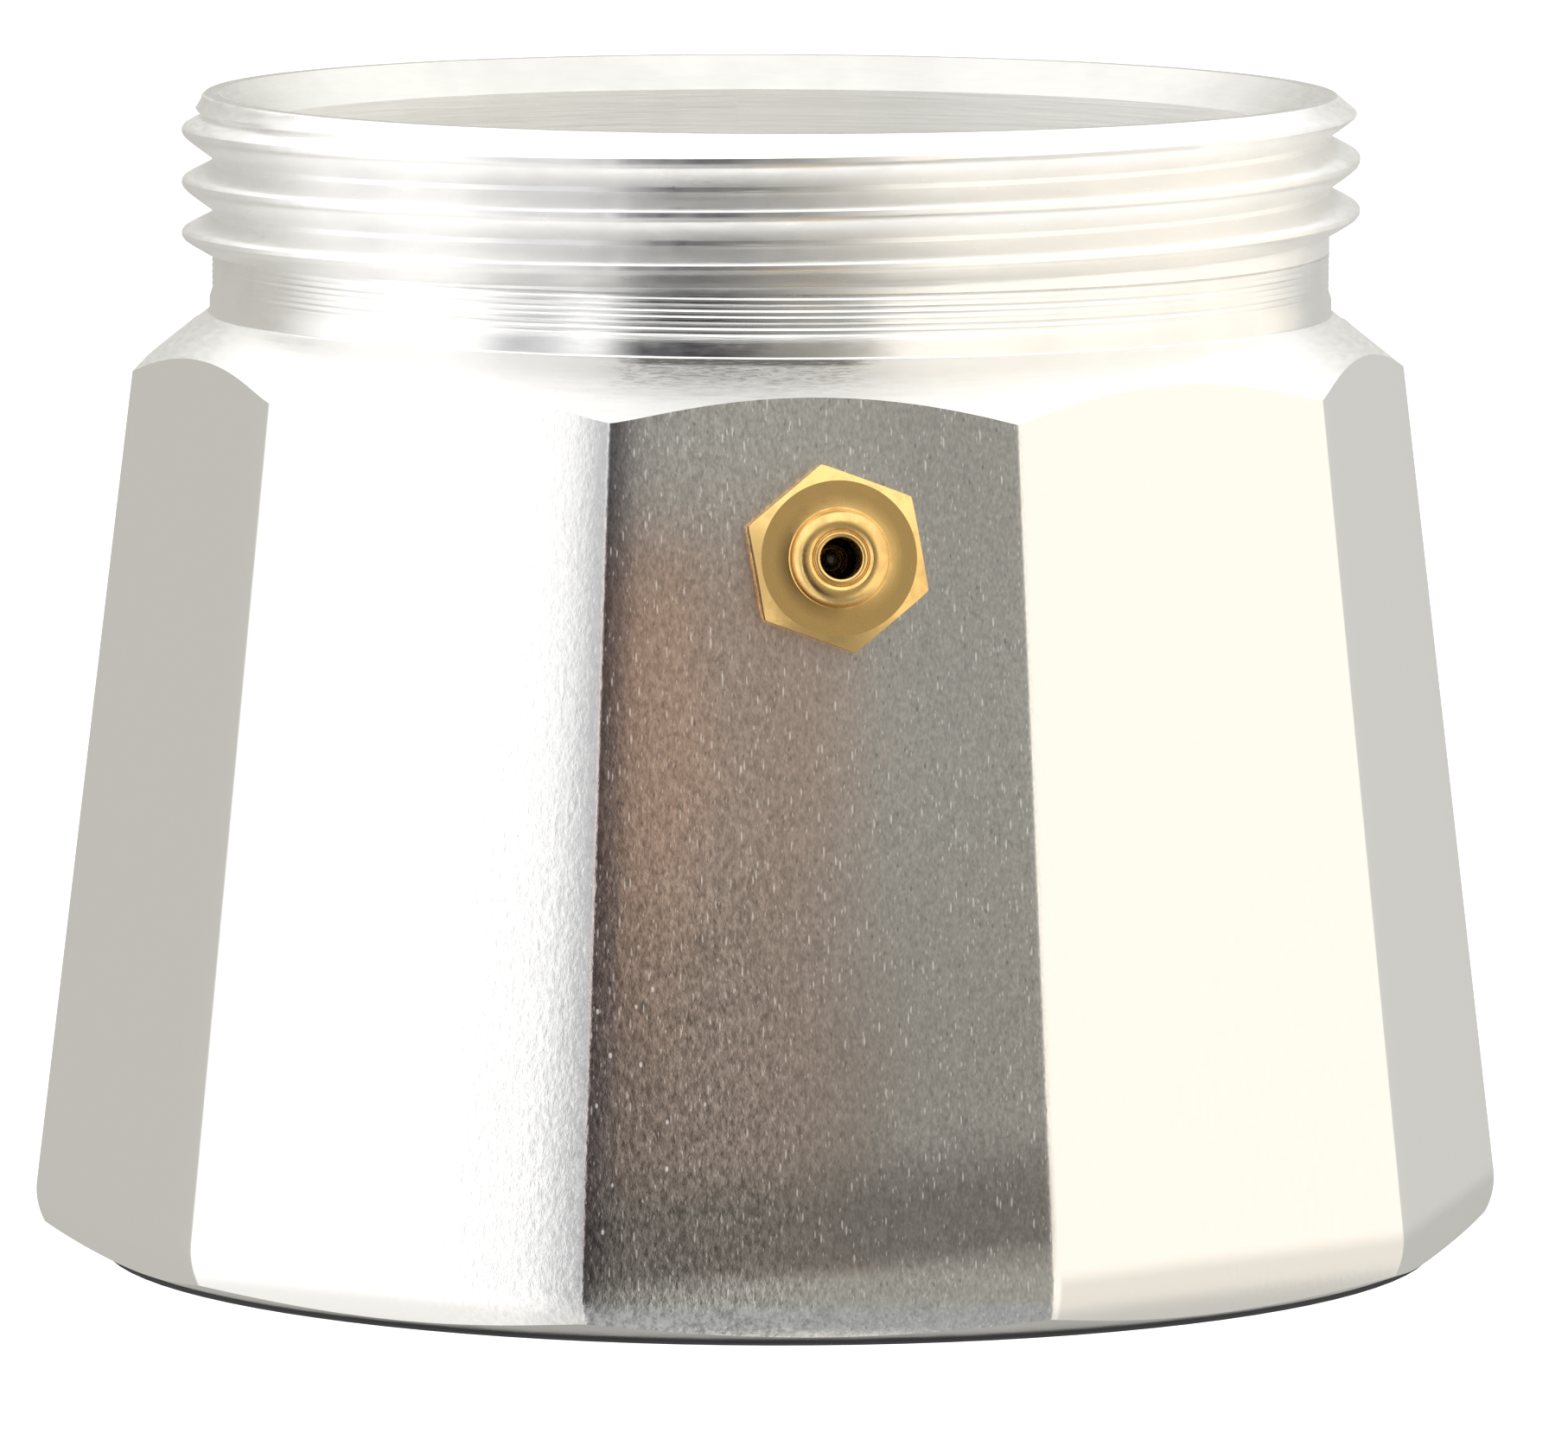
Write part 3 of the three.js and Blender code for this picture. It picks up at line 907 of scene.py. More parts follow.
    def facets_and_shoulder(self) -> list[Band]:
        """The facets, the rough-turned shoulder, the smooth machined ring and the fillet that
        leads on to the neck.

        Returns:
            Bands of radius and height with their finish.
        """
        top = self.facet_top()
        rise = spread(self.base_fillet_top, top, 11, self.columns)
        radius = self.facet_radius(self.flat_radius(rise))
        shoulder = spread(radius[:, -1], self.machined_radius, 6, self.columns)
        shoulder_height = self.neck_foot - (shoulder - self.neck_radius) * self.slope
        blend = self.neck_blend
        cone = np.radians(self.shoulder_slope)
        tangent = blend * np.tan((np.pi / 2 - cone) / 2)
        wall = self.neck_radius + self.ledge_width
        outside = self.machined_radius - self.machined_edge
        ring = spread(outside, wall + tangent * np.cos(cone), 4, self.columns)
        ring_height = self.neck_foot - (ring - self.neck_radius) * self.slope - self.machined_step
        turn = spread(1.5 * np.pi - cone, np.pi, 5, self.columns)
        fillet = wall + blend + blend * np.cos(turn)
        fillet_foot = self.neck_foot - self.ledge_width * self.slope - self.machined_step
        fillet_height = fillet_foot + tangent + blend * np.sin(turn)
        return [
            (radius, rise, Finish.CASTING),
            (shoulder, shoulder_height, Finish.SHOULDER),
            (ring, ring_height, Finish.SHOULDER),
            (fillet, fillet_height, Finish.TURNED),
        ]

    def grooves(self) -> tuple[np.ndarray, np.ndarray]:
        """The band of fine grooves round the neck, above a small ledge: the neck's radius less
        the groove depth, a little different in each groove, times the square of a sine of the
        height.

        Returns:
            Radius and height, columns by rows.
        """
        foot = self.height - self.groove_foot_drop
        band = self.groove_count * self.groove_pitch
        ledge = np.tile([self.neck_radius + self.ledge_width, self.neck_radius], (self.columns, 1))
        ledge_height = np.tile([foot - self.ledge_height, foot], (self.columns, 1))
        height = spread(foot, foot + band, 5 * self.groove_count + 1, self.columns)
        phase = (height - foot) / self.groove_pitch
        uneven = 0.8 + 0.2 * np.sin(2.1 * np.floor(phase - 1e-6))
        radius = self.neck_radius - self.groove_depth * uneven * np.sin(np.pi * phase) ** 2
        return np.append(ledge, radius, axis=1), np.append(ledge_height, height, axis=1)

    def thread_radius(self, height: np.ndarray) -> np.ndarray:
        """The thread's radius.

        Each turn of the ridge is a line that climbs one pitch a turn. Its section is a narrow
        rounded crest with a flank above and a longer one below, and the surface is the greatest
        of all the turns, the neck and the bevel under the rim, cut to the rim's chamfer. The last
        turn has a short lower flank and fades over its end.

        Args:
            height: columns by rows.

        Returns:
            The radius, columns by rows.
        """
        turns = self.angle[:, None] / (2 * np.pi)
        ragged = self.crest_raggedness * ripple(self.angle, seed=11, waves=9, lowest=9.0)[:, None]
        radius = np.full_like(height, self.neck_radius)
        depth = self.crest_radius - self.neck_radius
        for turn in THREAD_TURNS[:-1]:
            along = turns + turn
            middle = self.height - self.first_crest_drop + self.thread_pitch * along
            above = height - middle - self.crest_width / 2
            below = middle - self.crest_width / 2 - height
            last = along < 1.0 - self.turns_down + self.last_turn_slack
            lower = np.where(last, self.last_lower_flank, self.lower_flank)
            fall = np.maximum(above / self.upper_flank, below / lower)
            fade = np.clip((along + self.turns_down) / self.fade_turns, 0.0, 1.0)
            crest = self.neck_radius + depth * fade + ragged * (fade > 0)
            fall = np.hypot(np.maximum(fall, 0.0), self.crest_rounding) - self.crest_rounding
            radius = np.maximum(radius, crest - depth * fall)
        drop = self.height - height
        beyond = np.maximum(drop - self.rim_bevel_height, 0.0)
        bevel = self.rim_bevel * np.minimum(drop, self.rim_bevel_height) - self.rim_bevel_fall * beyond
        bevel += self.rim_edge_radius
        limit = self.rim_edge_radius + drop * np.tan(np.radians(self.rim_chamfer_slope))
        return np.minimum(np.maximum(radius, bevel), limit)

    def thread(self) -> tuple[np.ndarray, np.ndarray]:
        """The thread's band, in rows that climb with the thread so that its edges lie on them,
        held between the band's foot and the rim.

        Returns:
            Radius and height, columns by rows.
        """
        flank = self.crest_width / 2
        root = self.thread_pitch - flank
        valley = root - self.flank_reach * self.upper_flank
        below = np.linspace(flank, flank + self.flank_reach * self.lower_flank, 9)
        above = np.append(np.linspace(below[-1], valley, 4)[1:], np.linspace(valley, root, 7)[1:])
        one = np.unique(np.round(-np.append(below, above), 6))
        levels = [one + self.thread_pitch * turn for turn in THREAD_TURNS]
        start = self.height - self.first_crest_drop
        lines = np.unique(np.round(np.concatenate(levels), 6)) + start
        climb = self.thread_pitch * self.angle[:, None] / (2 * np.pi)
        foot = self.height - self.thread_foot
        height = np.clip(lines[None, :] + climb, foot, self.height)
        return self.thread_radius(height), height

    def rim_and_mouth(self, rim: np.ndarray) -> list[Band]:
        """The flat rim, the lead-in chamfer, and the mouth's wall down to the roof inside.

        Args:
            rim: the rim's outer radius in each column.

        Returns:
            Bands of radius and height with their finish.
        """
        mouth = self.neck_radius - self.neck_wall
        flat = spread(rim, mouth + self.mouth_chamfer, 4, self.columns)
        level = np.full_like(flat, self.height)
        chamfer = spread(mouth + self.mouth_chamfer, mouth, 4, self.columns)
        chamfer_height = spread(self.height, self.height - self.mouth_chamfer, 4, self.columns)
        wall_height = spread(self.height - self.mouth_chamfer, self.roof(mouth), 12, self.columns)
        wall = np.full_like(wall_height, mouth)
        return [
            (flat, level, Finish.TURNED),
            (chamfer, chamfer_height, Finish.SEAT),
            (wall, wall_height, Finish.BORED),
        ]

    def roof(self, radius: np.ndarray | float) -> np.ndarray | float:
        """Height of the sloping roof inside: the shoulder's cone less the wall across it."""
        across = self.wall / np.cos(np.radians(self.shoulder_slope))
        return self.neck_foot - across - (radius - self.neck_radius) * self.slope

    def chamber(self) -> list[Band]:
        """The roof, the side wall, the floor's fillet and the floor, down and in to the axis.

        Returns:
            Bands of radius and height with their finish.
        """
        mouth = self.neck_radius - self.neck_wall
        wall_taper = self.taper * self.flat_share
        outer = self.flat_radius(0.0) - self.wall
        roof_foot = (self.roof(0.0) - outer * self.slope) / (1 - wall_taper * self.slope)
        corner = self.flat_radius(roof_foot) - self.wall
        roof = spread(mouth, corner, 5, self.columns)
        roof_height = self.roof(roof)
        run = self.floor_fillet / np.tan((np.pi / 2 - self.lean) / 2)
        centre = self.flat_radius(self.floor) - self.wall - run
        middle = self.floor + self.floor_fillet
        side_foot = middle + self.floor_fillet * np.sin(self.lean)
        side_height = spread(roof_foot, side_foot, 10, self.columns)
        side = self.flat_radius(side_height) - self.wall
        turn = spread(self.lean, -np.pi / 2, 9, self.columns)
        fillet = centre + self.floor_fillet * np.cos(turn)
        fillet_height = middle + self.floor_fillet * np.sin(turn)
        base = spread(centre, 0.0, 8, self.columns)
        base_height = np.full_like(base, self.floor)
        return [
            (roof, roof_height, Finish.INSIDE),
            (side, side_height, Finish.INSIDE),
            (fillet, fillet_height, Finish.INSIDE),
            (base, base_height, Finish.INSIDE),
        ]

    def bands(self) -> list[Band]:
        """All the bands of the closed outline, from the middle of the foot round to the floor.

        Returns:
            Bands of radius and height with their finish.
        """
        thread_radius, thread_height = self.thread()
        return [
            (*self.foot(), Finish.FOOT),
            *self.relief_and_fillet(),
            *self.facets_and_shoulder(),
            (*self.grooves(), Finish.TURNED),
            (thread_radius, thread_height, Finish.THREAD),
            *self.rim_and_mouth(thread_radius[:, -1]),
            *self.chamber(),
        ]

    def build(self, cutter: bpy.types.Object) -> bpy.types.Object:
        """Makes the boiler, bores it for the valve, dresses it and puts it in the CAD body's place.

        Args:
            cutter: a closed body in the place of the valve's hole.

        Returns:
            The boiler's object.
        """
        bands = self.bands()
        radius = np.concatenate([band[0] for band in bands], axis=1)
        height = np.concatenate([band[1] for band in bands], axis=1)
        finish = np.concatenate([np.full(band[0].shape[1], band[2].value) for band in bands])[1:]
        points = revolve(self.angle, radius, height, upright())
        made = grid_object("boiler_shell", points, self.materials(), finish)
        self.bore(made, cutter)
        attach(made, "boiler")
        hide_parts("boiler_body")
        return made

    @staticmethod
    def bore(made: bpy.types.Object, cutter: bpy.types.Object) -> None:
        """Cuts the valve's hole out of the wall and throws the cutter away.

        Args:
            made: the boiler's shell.
            cutter: a closed body in the hole's place.
        """
        cut = made.modifiers.new("valve_hole", "BOOLEAN")
        cut.object = cutter
        cut.operation = "DIFFERENCE"
        cut.solver = "EXACT"
        bpy.context.view_layer.update()
        result = made.evaluated_get(bpy.context.evaluated_depsgraph_get())
        holed = bpy.data.meshes.new_from_object(result)
        made.modifiers.clear()
        holed.set_sharp_from_angle(angle=np.radians(SHARP_DEGREES))
        made.data = holed
        bpy.data.objects.remove(cutter)

    def materials(self) -> list[bpy.types.Material]:
        """The boiler's materials, in the order of Finish.

        Returns:
            One material for each member of Finish.
        """
        return [
            PolishedCasting().material(),
            TurnedAluminium(roughness=0.17).material(),
            TurnedAluminium(
                "inside_aluminium",
                (0.80, 0.795, 0.775),
                0.34,
                ring_scale=2600.0,
                ring_depth=0.01,
                chatter=1.5,
            ).material(),
            TurnedAluminium(
                "foot_aluminium", (0.70, 0.695, 0.675), 0.36, ring_scale=5200.0, ring_depth=0.01
            ).material(),
            # Painted light: a near-white, mostly non-metal copy of the aluminium that makes the mouth's
            # wall look brightly lit.
            TurnedAluminium(
                "bored_aluminium",
                (0.99, 0.98, 0.95),
                0.40,
                ring_scale=3400.0,
                ring_depth=0.03,
                chatter=0.3,
                metal=0.12,
                wear=0.4,
            ).material(),
            TurnedAluminium(
                "thread_aluminium", (0.96, 0.955, 0.945), 0.29, ring_depth=0.002, chatter=1.5, wear=0.3
            ).material(),
            TurnedAluminium(
                "shoulder_aluminium",
                (0.93, 0.925, 0.91),
                0.30,
                ring_scale=7000.0,
                ring_depth=0.004,
                chatter=1.2,
                wear=0.2,
                # Torn tool marks and a painted dark reflection at the front of the shoulder.
                tearing_and_painted_reflection=0.85,
            ).material(),
            TurnedAluminium(
                "seat_aluminium",
                (0.73, 0.725, 0.70),
                0.40,
                ring_scale=3400.0,
                ring_depth=0.02,
                chatter=0.3,
                wear=0.5,
            ).material(),
        ]


# ------------------------------------------------------------------ safety valve


Outline = list[tuple[float, float]]
CLOSED_PITCH = 2.1  # rise of one of the spring's closed turns, in wire radii


@dataclass
class SafetyValve:
    """The brass safety valve and what it holds, along the axis of the ball's joint.

    Heights run outwards along that axis, from the outside of the vessel's wall.
    """

    across_flats: float = 9.1
    corner_sharpness: float = 30.0
    hex_thickness: float = 2.0
    hex_edge: float = 0.12
    face_radius: float = 4.27
    face_step: float = 0.25
    dish_radius: float = 3.6
    chamfer_slope: float = 30.0
    clocking: float = 10.0
    nose_base: float = 2.72
    nose_height: float = 1.75
    lip_radius: float = 1.45
    outlet_radius: float = 1.12
    outlet_length: float = 2.9
    shank_radius: float = 3.2
    shank_reach: float = 8.0
    shank_pitch: float = 0.75
    shank_thread: float = 0.32
    shank_clearance: float = 0.02
    shank_end: float = 0.3
    shank_fade: float = 0.5
    hole_clearance: float = 0.1
    inner_edge: float = 0.1
    bush_edge: float = 0.15
    washer_edge: float = 0.06
    chamber_radius: float = 2.2
    ball_radius: float = 1.75
    bush_radius: float = 2.6
    bush_length: float = 2.2
    seat_radius: float = 1.2
    inlet_radius: float = 0.9
    washer_thickness: float = 0.5
    washer_radius: float = 4.35
    wire_radius: float = 0.15
    spring_radius: float = 1.45
    spring_turns: float = 6.0
    closed_turns: float = 0.8
    wire_steps: int = 288
    wire_smoothing: int = 12
    gap: float = 0.05
    columns_per_side: int = 20

    def __post_init__(self) -> None:
        """Takes the valve's axis from the ball's joint and its place from the ball's box."""
        out = np.array(BALL_JOINT["axis"], float)
        out /= np.linalg.norm(out)
        right = np.array([1.0, 0.0, 0.0])
        up = np.cross(out, right)
        low, high = (np.array(corner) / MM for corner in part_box("valve_ball"))
        self.hex_foot = self.washer_thickness + 2 * self.gap
        self.hex_face = self.hex_foot + self.hex_thickness
        self.nose_tip = self.hex_face + self.nose_height
        self.chamber_top = self.nose_tip - self.outlet_length
        self.bush_top = -self.shank_reach + self.bush_length
        self.ball_centre = self.bush_top + np.sqrt(self.ball_radius**2 - self.seat_radius**2) + self.gap
        self.axes = Placement((low + high) / 2 - self.ball_centre * out, right, up, out)
        self.brass = TurnedBrass().material(self.axes)

    def lathe(
        self,
        name: str,
        outline: Outline,
        material: bpy.types.Material,
        node: str,
        slot: str,
        body: str = "boiler",
        columns: int = 96,
    ) -> bpy.types.Object:
        """Turns a closed outline of (radius, height) about the valve's axis.

        Args:
            name: the piece's name.
            outline: runs outwards along the inner end and back down the bore, and ends where it
                starts.
            material: its material.
            node: the CAD node it stands for.
            slot: a material slot's name; not used.
            body: the CAD body it rides on.
            columns: steps round the axis.

        Returns:
            The piece.
        """
        return self.stand_in(self.turned(name, outline, material, columns), node, slot, body)

    def turned(
        self, name: str, outline: Outline, material: bpy.types.Material, columns: int = 96
    ) -> bpy.types.Object:
        """Sweeps an outline of (radius, height) about the valve's axis.

        Args:
            name: the object's name.
            outline: as in lathe.
            material: its material.
            columns: steps round the axis.

        Returns:
            The object.
        """
        angle = np.linspace(0.0, 2 * np.pi, columns + 1)
        profile = np.array(outline, float)
        radius = np.tile(profile[:, 0], (columns + 1, 1))
        height = np.tile(profile[:, 1], (columns + 1, 1))
        return grid_object(name, revolve(angle, radius, height, self.axes), [material])

    @staticmethod
    def stand_in(
        made: bpy.types.Object, node: str, slot: str, body: str = "boiler"
    ) -> bpy.types.Object:
        """Lets a piece ride on its body in the place of its CAD node.

        Args:
            made: the piece.
            node: the CAD node.
            slot: a material slot's name; not used.
            body: the CAD body.

        Returns:
            The piece.
        """
        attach(made, body)
        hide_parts(node)
        return made

    @staticmethod
    def arc(r: float, z: float, radius: float, start: float, end: float, count: int) -> Outline:
        """Points on an arc about (r, z), from one angle in degrees to another."""
        turn = np.radians(np.linspace(start, end, count))
        return list(zip(r + radius * np.cos(turn), z + radius * np.sin(turn)))

    def hexagon(self, angle: np.ndarray) -> np.ndarray:
        """The hexagon's radius at each angle: half the width across flats over the cosine of the
        angle from the nearest flat, with its corners slightly rounded.

        Args:
            angle: angles about the valve's axis in radians.

        Returns:
            An array of their shape.
        """
        clock = np.radians(90.0 + self.clocking)
        off = np.mod(angle - clock, np.pi / 3) - np.pi / 6
        own = self.across_flats / 2 / np.cos(off)
        other = self.across_flats / 2 / np.cos(np.pi / 3 - np.abs(off))
        return soft_least(own, other, self.corner_sharpness)

    def shank_rows(self, columns: int, angle: np.ndarray) -> tuple[np.ndarray, np.ndarray]:
        """The shank's threaded side: its radius less a triangle wave of the height less one pitch
        a turn, fading out at both ends.

        Args:
            columns: how many columns there are.
            angle: their angles in radians.

        Returns:
            Radius and height, columns by rows.
        """
        foot, head = self.shank_end - self.shank_reach, self.hex_foot - self.shank_end
        height = spread(foot, head, 120, columns)
        turns = height / self.shank_pitch - angle[:, None] / (2 * np.pi)
        wave = np.abs(np.mod(turns, 1.0) - 0.5) * 2
        ends = np.clip(np.minimum(height - foot, head - height) / self.shank_fade, 0.0, 1.0)
        depth = self.shank_clearance + self.shank_thread * wave * ends
        return self.shank_radius - depth, height

    def hole_cutter(self) -> bpy.types.Object:
        """A plain cylinder through the wall, a little wider than the shank.

        Returns:
            The cylinder, which the vessel throws away after the cut.
        """
        radius = self.shank_radius + self.hole_clearance
        inside, outside = -self.shank_reach - 1.0, self.hex_foot
        outline = [(0.0, inside), (radius, inside), (radius, outside), (0.0, outside)]
        return self.turned("valve_hole_cutter", outline, self.brass)

    def nose(self) -> Outline:
        """The outline over the hexagon's face and the rounded nose to the lip of the outlet.

        Returns:
            Points of radius and height.
        """
        base, tip, lip = self.nose_base, self.nose_tip, self.lip_radius
        return [
            (self.face_radius - self.face_step, self.hex_face),
            (self.dish_radius, self.hex_face),
            *self.arc(base + 0.1, self.hex_face + 0.1, 0.1, -90, -180, 4),
            (base - 0.02, tip - 0.85),
            *self.arc(base - 0.82, tip - 0.8, 0.8, 0, 100, 14),
            (lip + 0.17, tip - 0.10),
            (lip + 0.07, tip - 0.20),
            *self.arc(lip - 0.14, tip - 0.24, 0.18, 20, 165, 9),
        ]

    def bore(self) -> Outline:
        """The outline down the outlet, the spring's chamber and the bush's seat to the shank.

        Returns:
            Points of radius and height.
        """
        outlet, chamber, bush = self.outlet_radius, self.chamber_radius, self.bush_radius + self.gap
        edge, step = self.inner_edge, self.bush_top + self.gap
        return [
            (outlet, self.nose_tip - 0.42),
            (outlet, self.nose_tip - 1.2),
            (outlet, self.chamber_top),
            (chamber - edge, self.chamber_top),
            (chamber, self.chamber_top - edge),
            (chamber, step),
            (bush, step),
            (bush, -self.shank_reach),
            (self.shank_radius - self.shank_end, -self.shank_reach),
            (self.shank_radius, self.shank_end - self.shank_reach),
        ]

    def body(self) -> bpy.types.Object:
        """The valve's body: threaded shank, chamfered hexagon, nose with its lip, and the bore.

        Returns:
            The piece.
        """
        columns = 6 * self.columns_per_side + 1
        angle = np.linspace(0.0, 2 * np.pi, columns) + np.radians(90.0 + self.clocking)
        flat = self.hexagon(angle)
        fall = np.tan(np.radians(self.chamfer_slope))
        shank, shank_height = self.shank_rows(columns, angle)
        under = spread(self.shank_radius, flat - self.hex_edge, 4, columns)
        side_top = self.hex_face - np.maximum(flat - self.face_radius, 0.0) * fall
        side_height = spread(self.hex_foot + self.hex_edge, side_top, 5, columns)
        side = np.repeat(flat[:, None], 5, axis=1)
        cone = spread(flat, np.minimum(flat, self.face_radius), 5, columns)
        cone_height = self.hex_face - np.maximum(cone - self.face_radius, 0.0) * fall
        outline = np.array(self.nose() + self.bore(), float)
        outline_radius, outline_height = (np.tile(part, (columns, 1)) for part in outline.T)
        radius = np.concatenate([shank, under, side, cone, outline_radius], axis=1)
        under_height = np.full_like(under, self.hex_foot)
        heights = [shank_height, under_height, side_height, cone_height, outline_height]
        radius[:, -1] = shank[:, 0]
        points = revolve(angle, radius, np.concatenate(heights, axis=1), self.axes)
        made = grid_object("valve_brass_body", points, [self.brass], sharp_degrees=24.0)
        return self.stand_in(made, "valve_body", "brass")

    def washer(self) -> bpy.types.Object:
        """The flat sealing washer under the hexagon, with its edges slightly broken.

        Returns:
            The piece.
        """
        inner, outer = self.shank_radius + self.hole_clearance, self.washer_radius
        low, high, edge = self.gap, self.gap + self.washer_thickness, self.washer_edge
        outline = [
            (inner, low + edge),
            (inner + edge, low),
            (outer - edge, low),
            (outer, low + edge),
            (outer, high - edge),
            (outer - edge, high),
            (inner + edge, high),
            (inner, high - edge),
            (inner, low + edge),
        ]
        fibre = PressedFibre().material()
        return self.lathe("sealing_washer", outline, fibre, "valve_sealing_washer", "fibre")

    def bush(self) -> bpy.types.Object:
        """The pressed bush with the inlet and the coned seat.

        Returns:
            The piece.
        """
        end, top, edge = -self.shank_reach, self.bush_top, self.bush_edge
        inner, outer = self.inlet_radius, self.bush_radius
        outline = [
            (inner, end + edge),
            (inner + edge, end),
            (outer - edge, end),
            (outer, end + edge),
            (outer, top - self.inner_edge),
            (outer - self.inner_edge, top),
            (self.seat_radius, top),
            (inner, top - (self.seat_radius - inner)),
            (inner, end + edge),
        ]
        return self.lathe("seat_bush", outline, self.brass, "valve_seat_bush", "brass")

    def ball(self) -> bpy.types.Object:
        """The ball: half a circle turned about the axis, its colour kept very dark as painted shade.

        Returns:
            The piece.
        """
        outline = self.arc(0.0, self.ball_centre, self.ball_radius, -90, 90, 49)
        outline[0], outline[-1] = (0.0, outline[0][1]), (0.0, outline[-1][1])
        # Painted shade: the ball's colour is kept very dark for the shadow inside the valve.
        steel = Steel("ball_steel", 0.08, 1500.0, 0.12).material()
        return self.lathe("steel_ball", outline, steel, "valve_ball", "ball_steel", "ball")

    def spring(self) -> bpy.types.Object:
        """The spring: a round wire along a helix whose end turns lie closed.

        The wire's centre goes round evenly while its height rises slowly in the end turns and
        evenly between them, averaged over a few steps; the section is a circle in the plane of the
        radius and the height, shrunk to a point at both ends.

        Returns:
            The piece.
        """
        reach = self.ball_radius + self.wire_radius + self.gap
        foot = self.ball_centre + np.sqrt(reach**2 - self.spring_radius**2)
        head = self.chamber_top - self.wire_radius - self.gap
        closed = self.closed_turns / self.spring_turns
        along = np.linspace(0.0, 1.0, self.wire_steps + 1)
        end_rise = CLOSED_PITCH * self.wire_radius * self.closed_turns
        keys = [0.0, closed, 1.0 - closed, 1.0]
        rise = np.interp(along, keys, [foot, foot + end_rise, head - end_rise, head])
        width = 2 * self.wire_smoothing + 1
        padded = np.pad(rise, self.wire_smoothing, mode="edge")
        rise = np.convolve(padded, np.ones(width) / width, mode="valid")
        rise[0], rise[-1] = foot, head
        turn = 2 * np.pi * self.spring_turns * along
        section = np.linspace(0.0, 2 * np.pi, 13)
        thick = self.wire_radius * np.ones_like(along)
        thick[[0, -1]] = 0.0
        along_ends = np.clip(np.arange(len(along)), 1, len(along) - 2)
        radius = self.spring_radius + thick[:, None] * np.cos(section)[None, :]
        height = rise[along_ends][:, None] + thick[:, None] * np.sin(section)[None, :]
        points = revolve(turn[along_ends], radius, height, self.axes)
        wire = Steel("spring_steel", 0.22, 4000.0).material()
        made = grid_object("valve_wire_spring", points, [wire])
        self.stand_in(made, "valve_spring", "spring_steel")
        anchor = self.axes.origin + head * self.axes.out
        axis, anchor = tuple(self.axes.out), tuple(anchor * MM)
        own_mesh(made)
        return made

    def build(self) -> list[bpy.types.Object]:
        """Makes all the valve's pieces."""
        return [self.body(), self.washer(), self.bush(), self.ball(), self.spring()]


# ------------------------------------------------------------------ studio


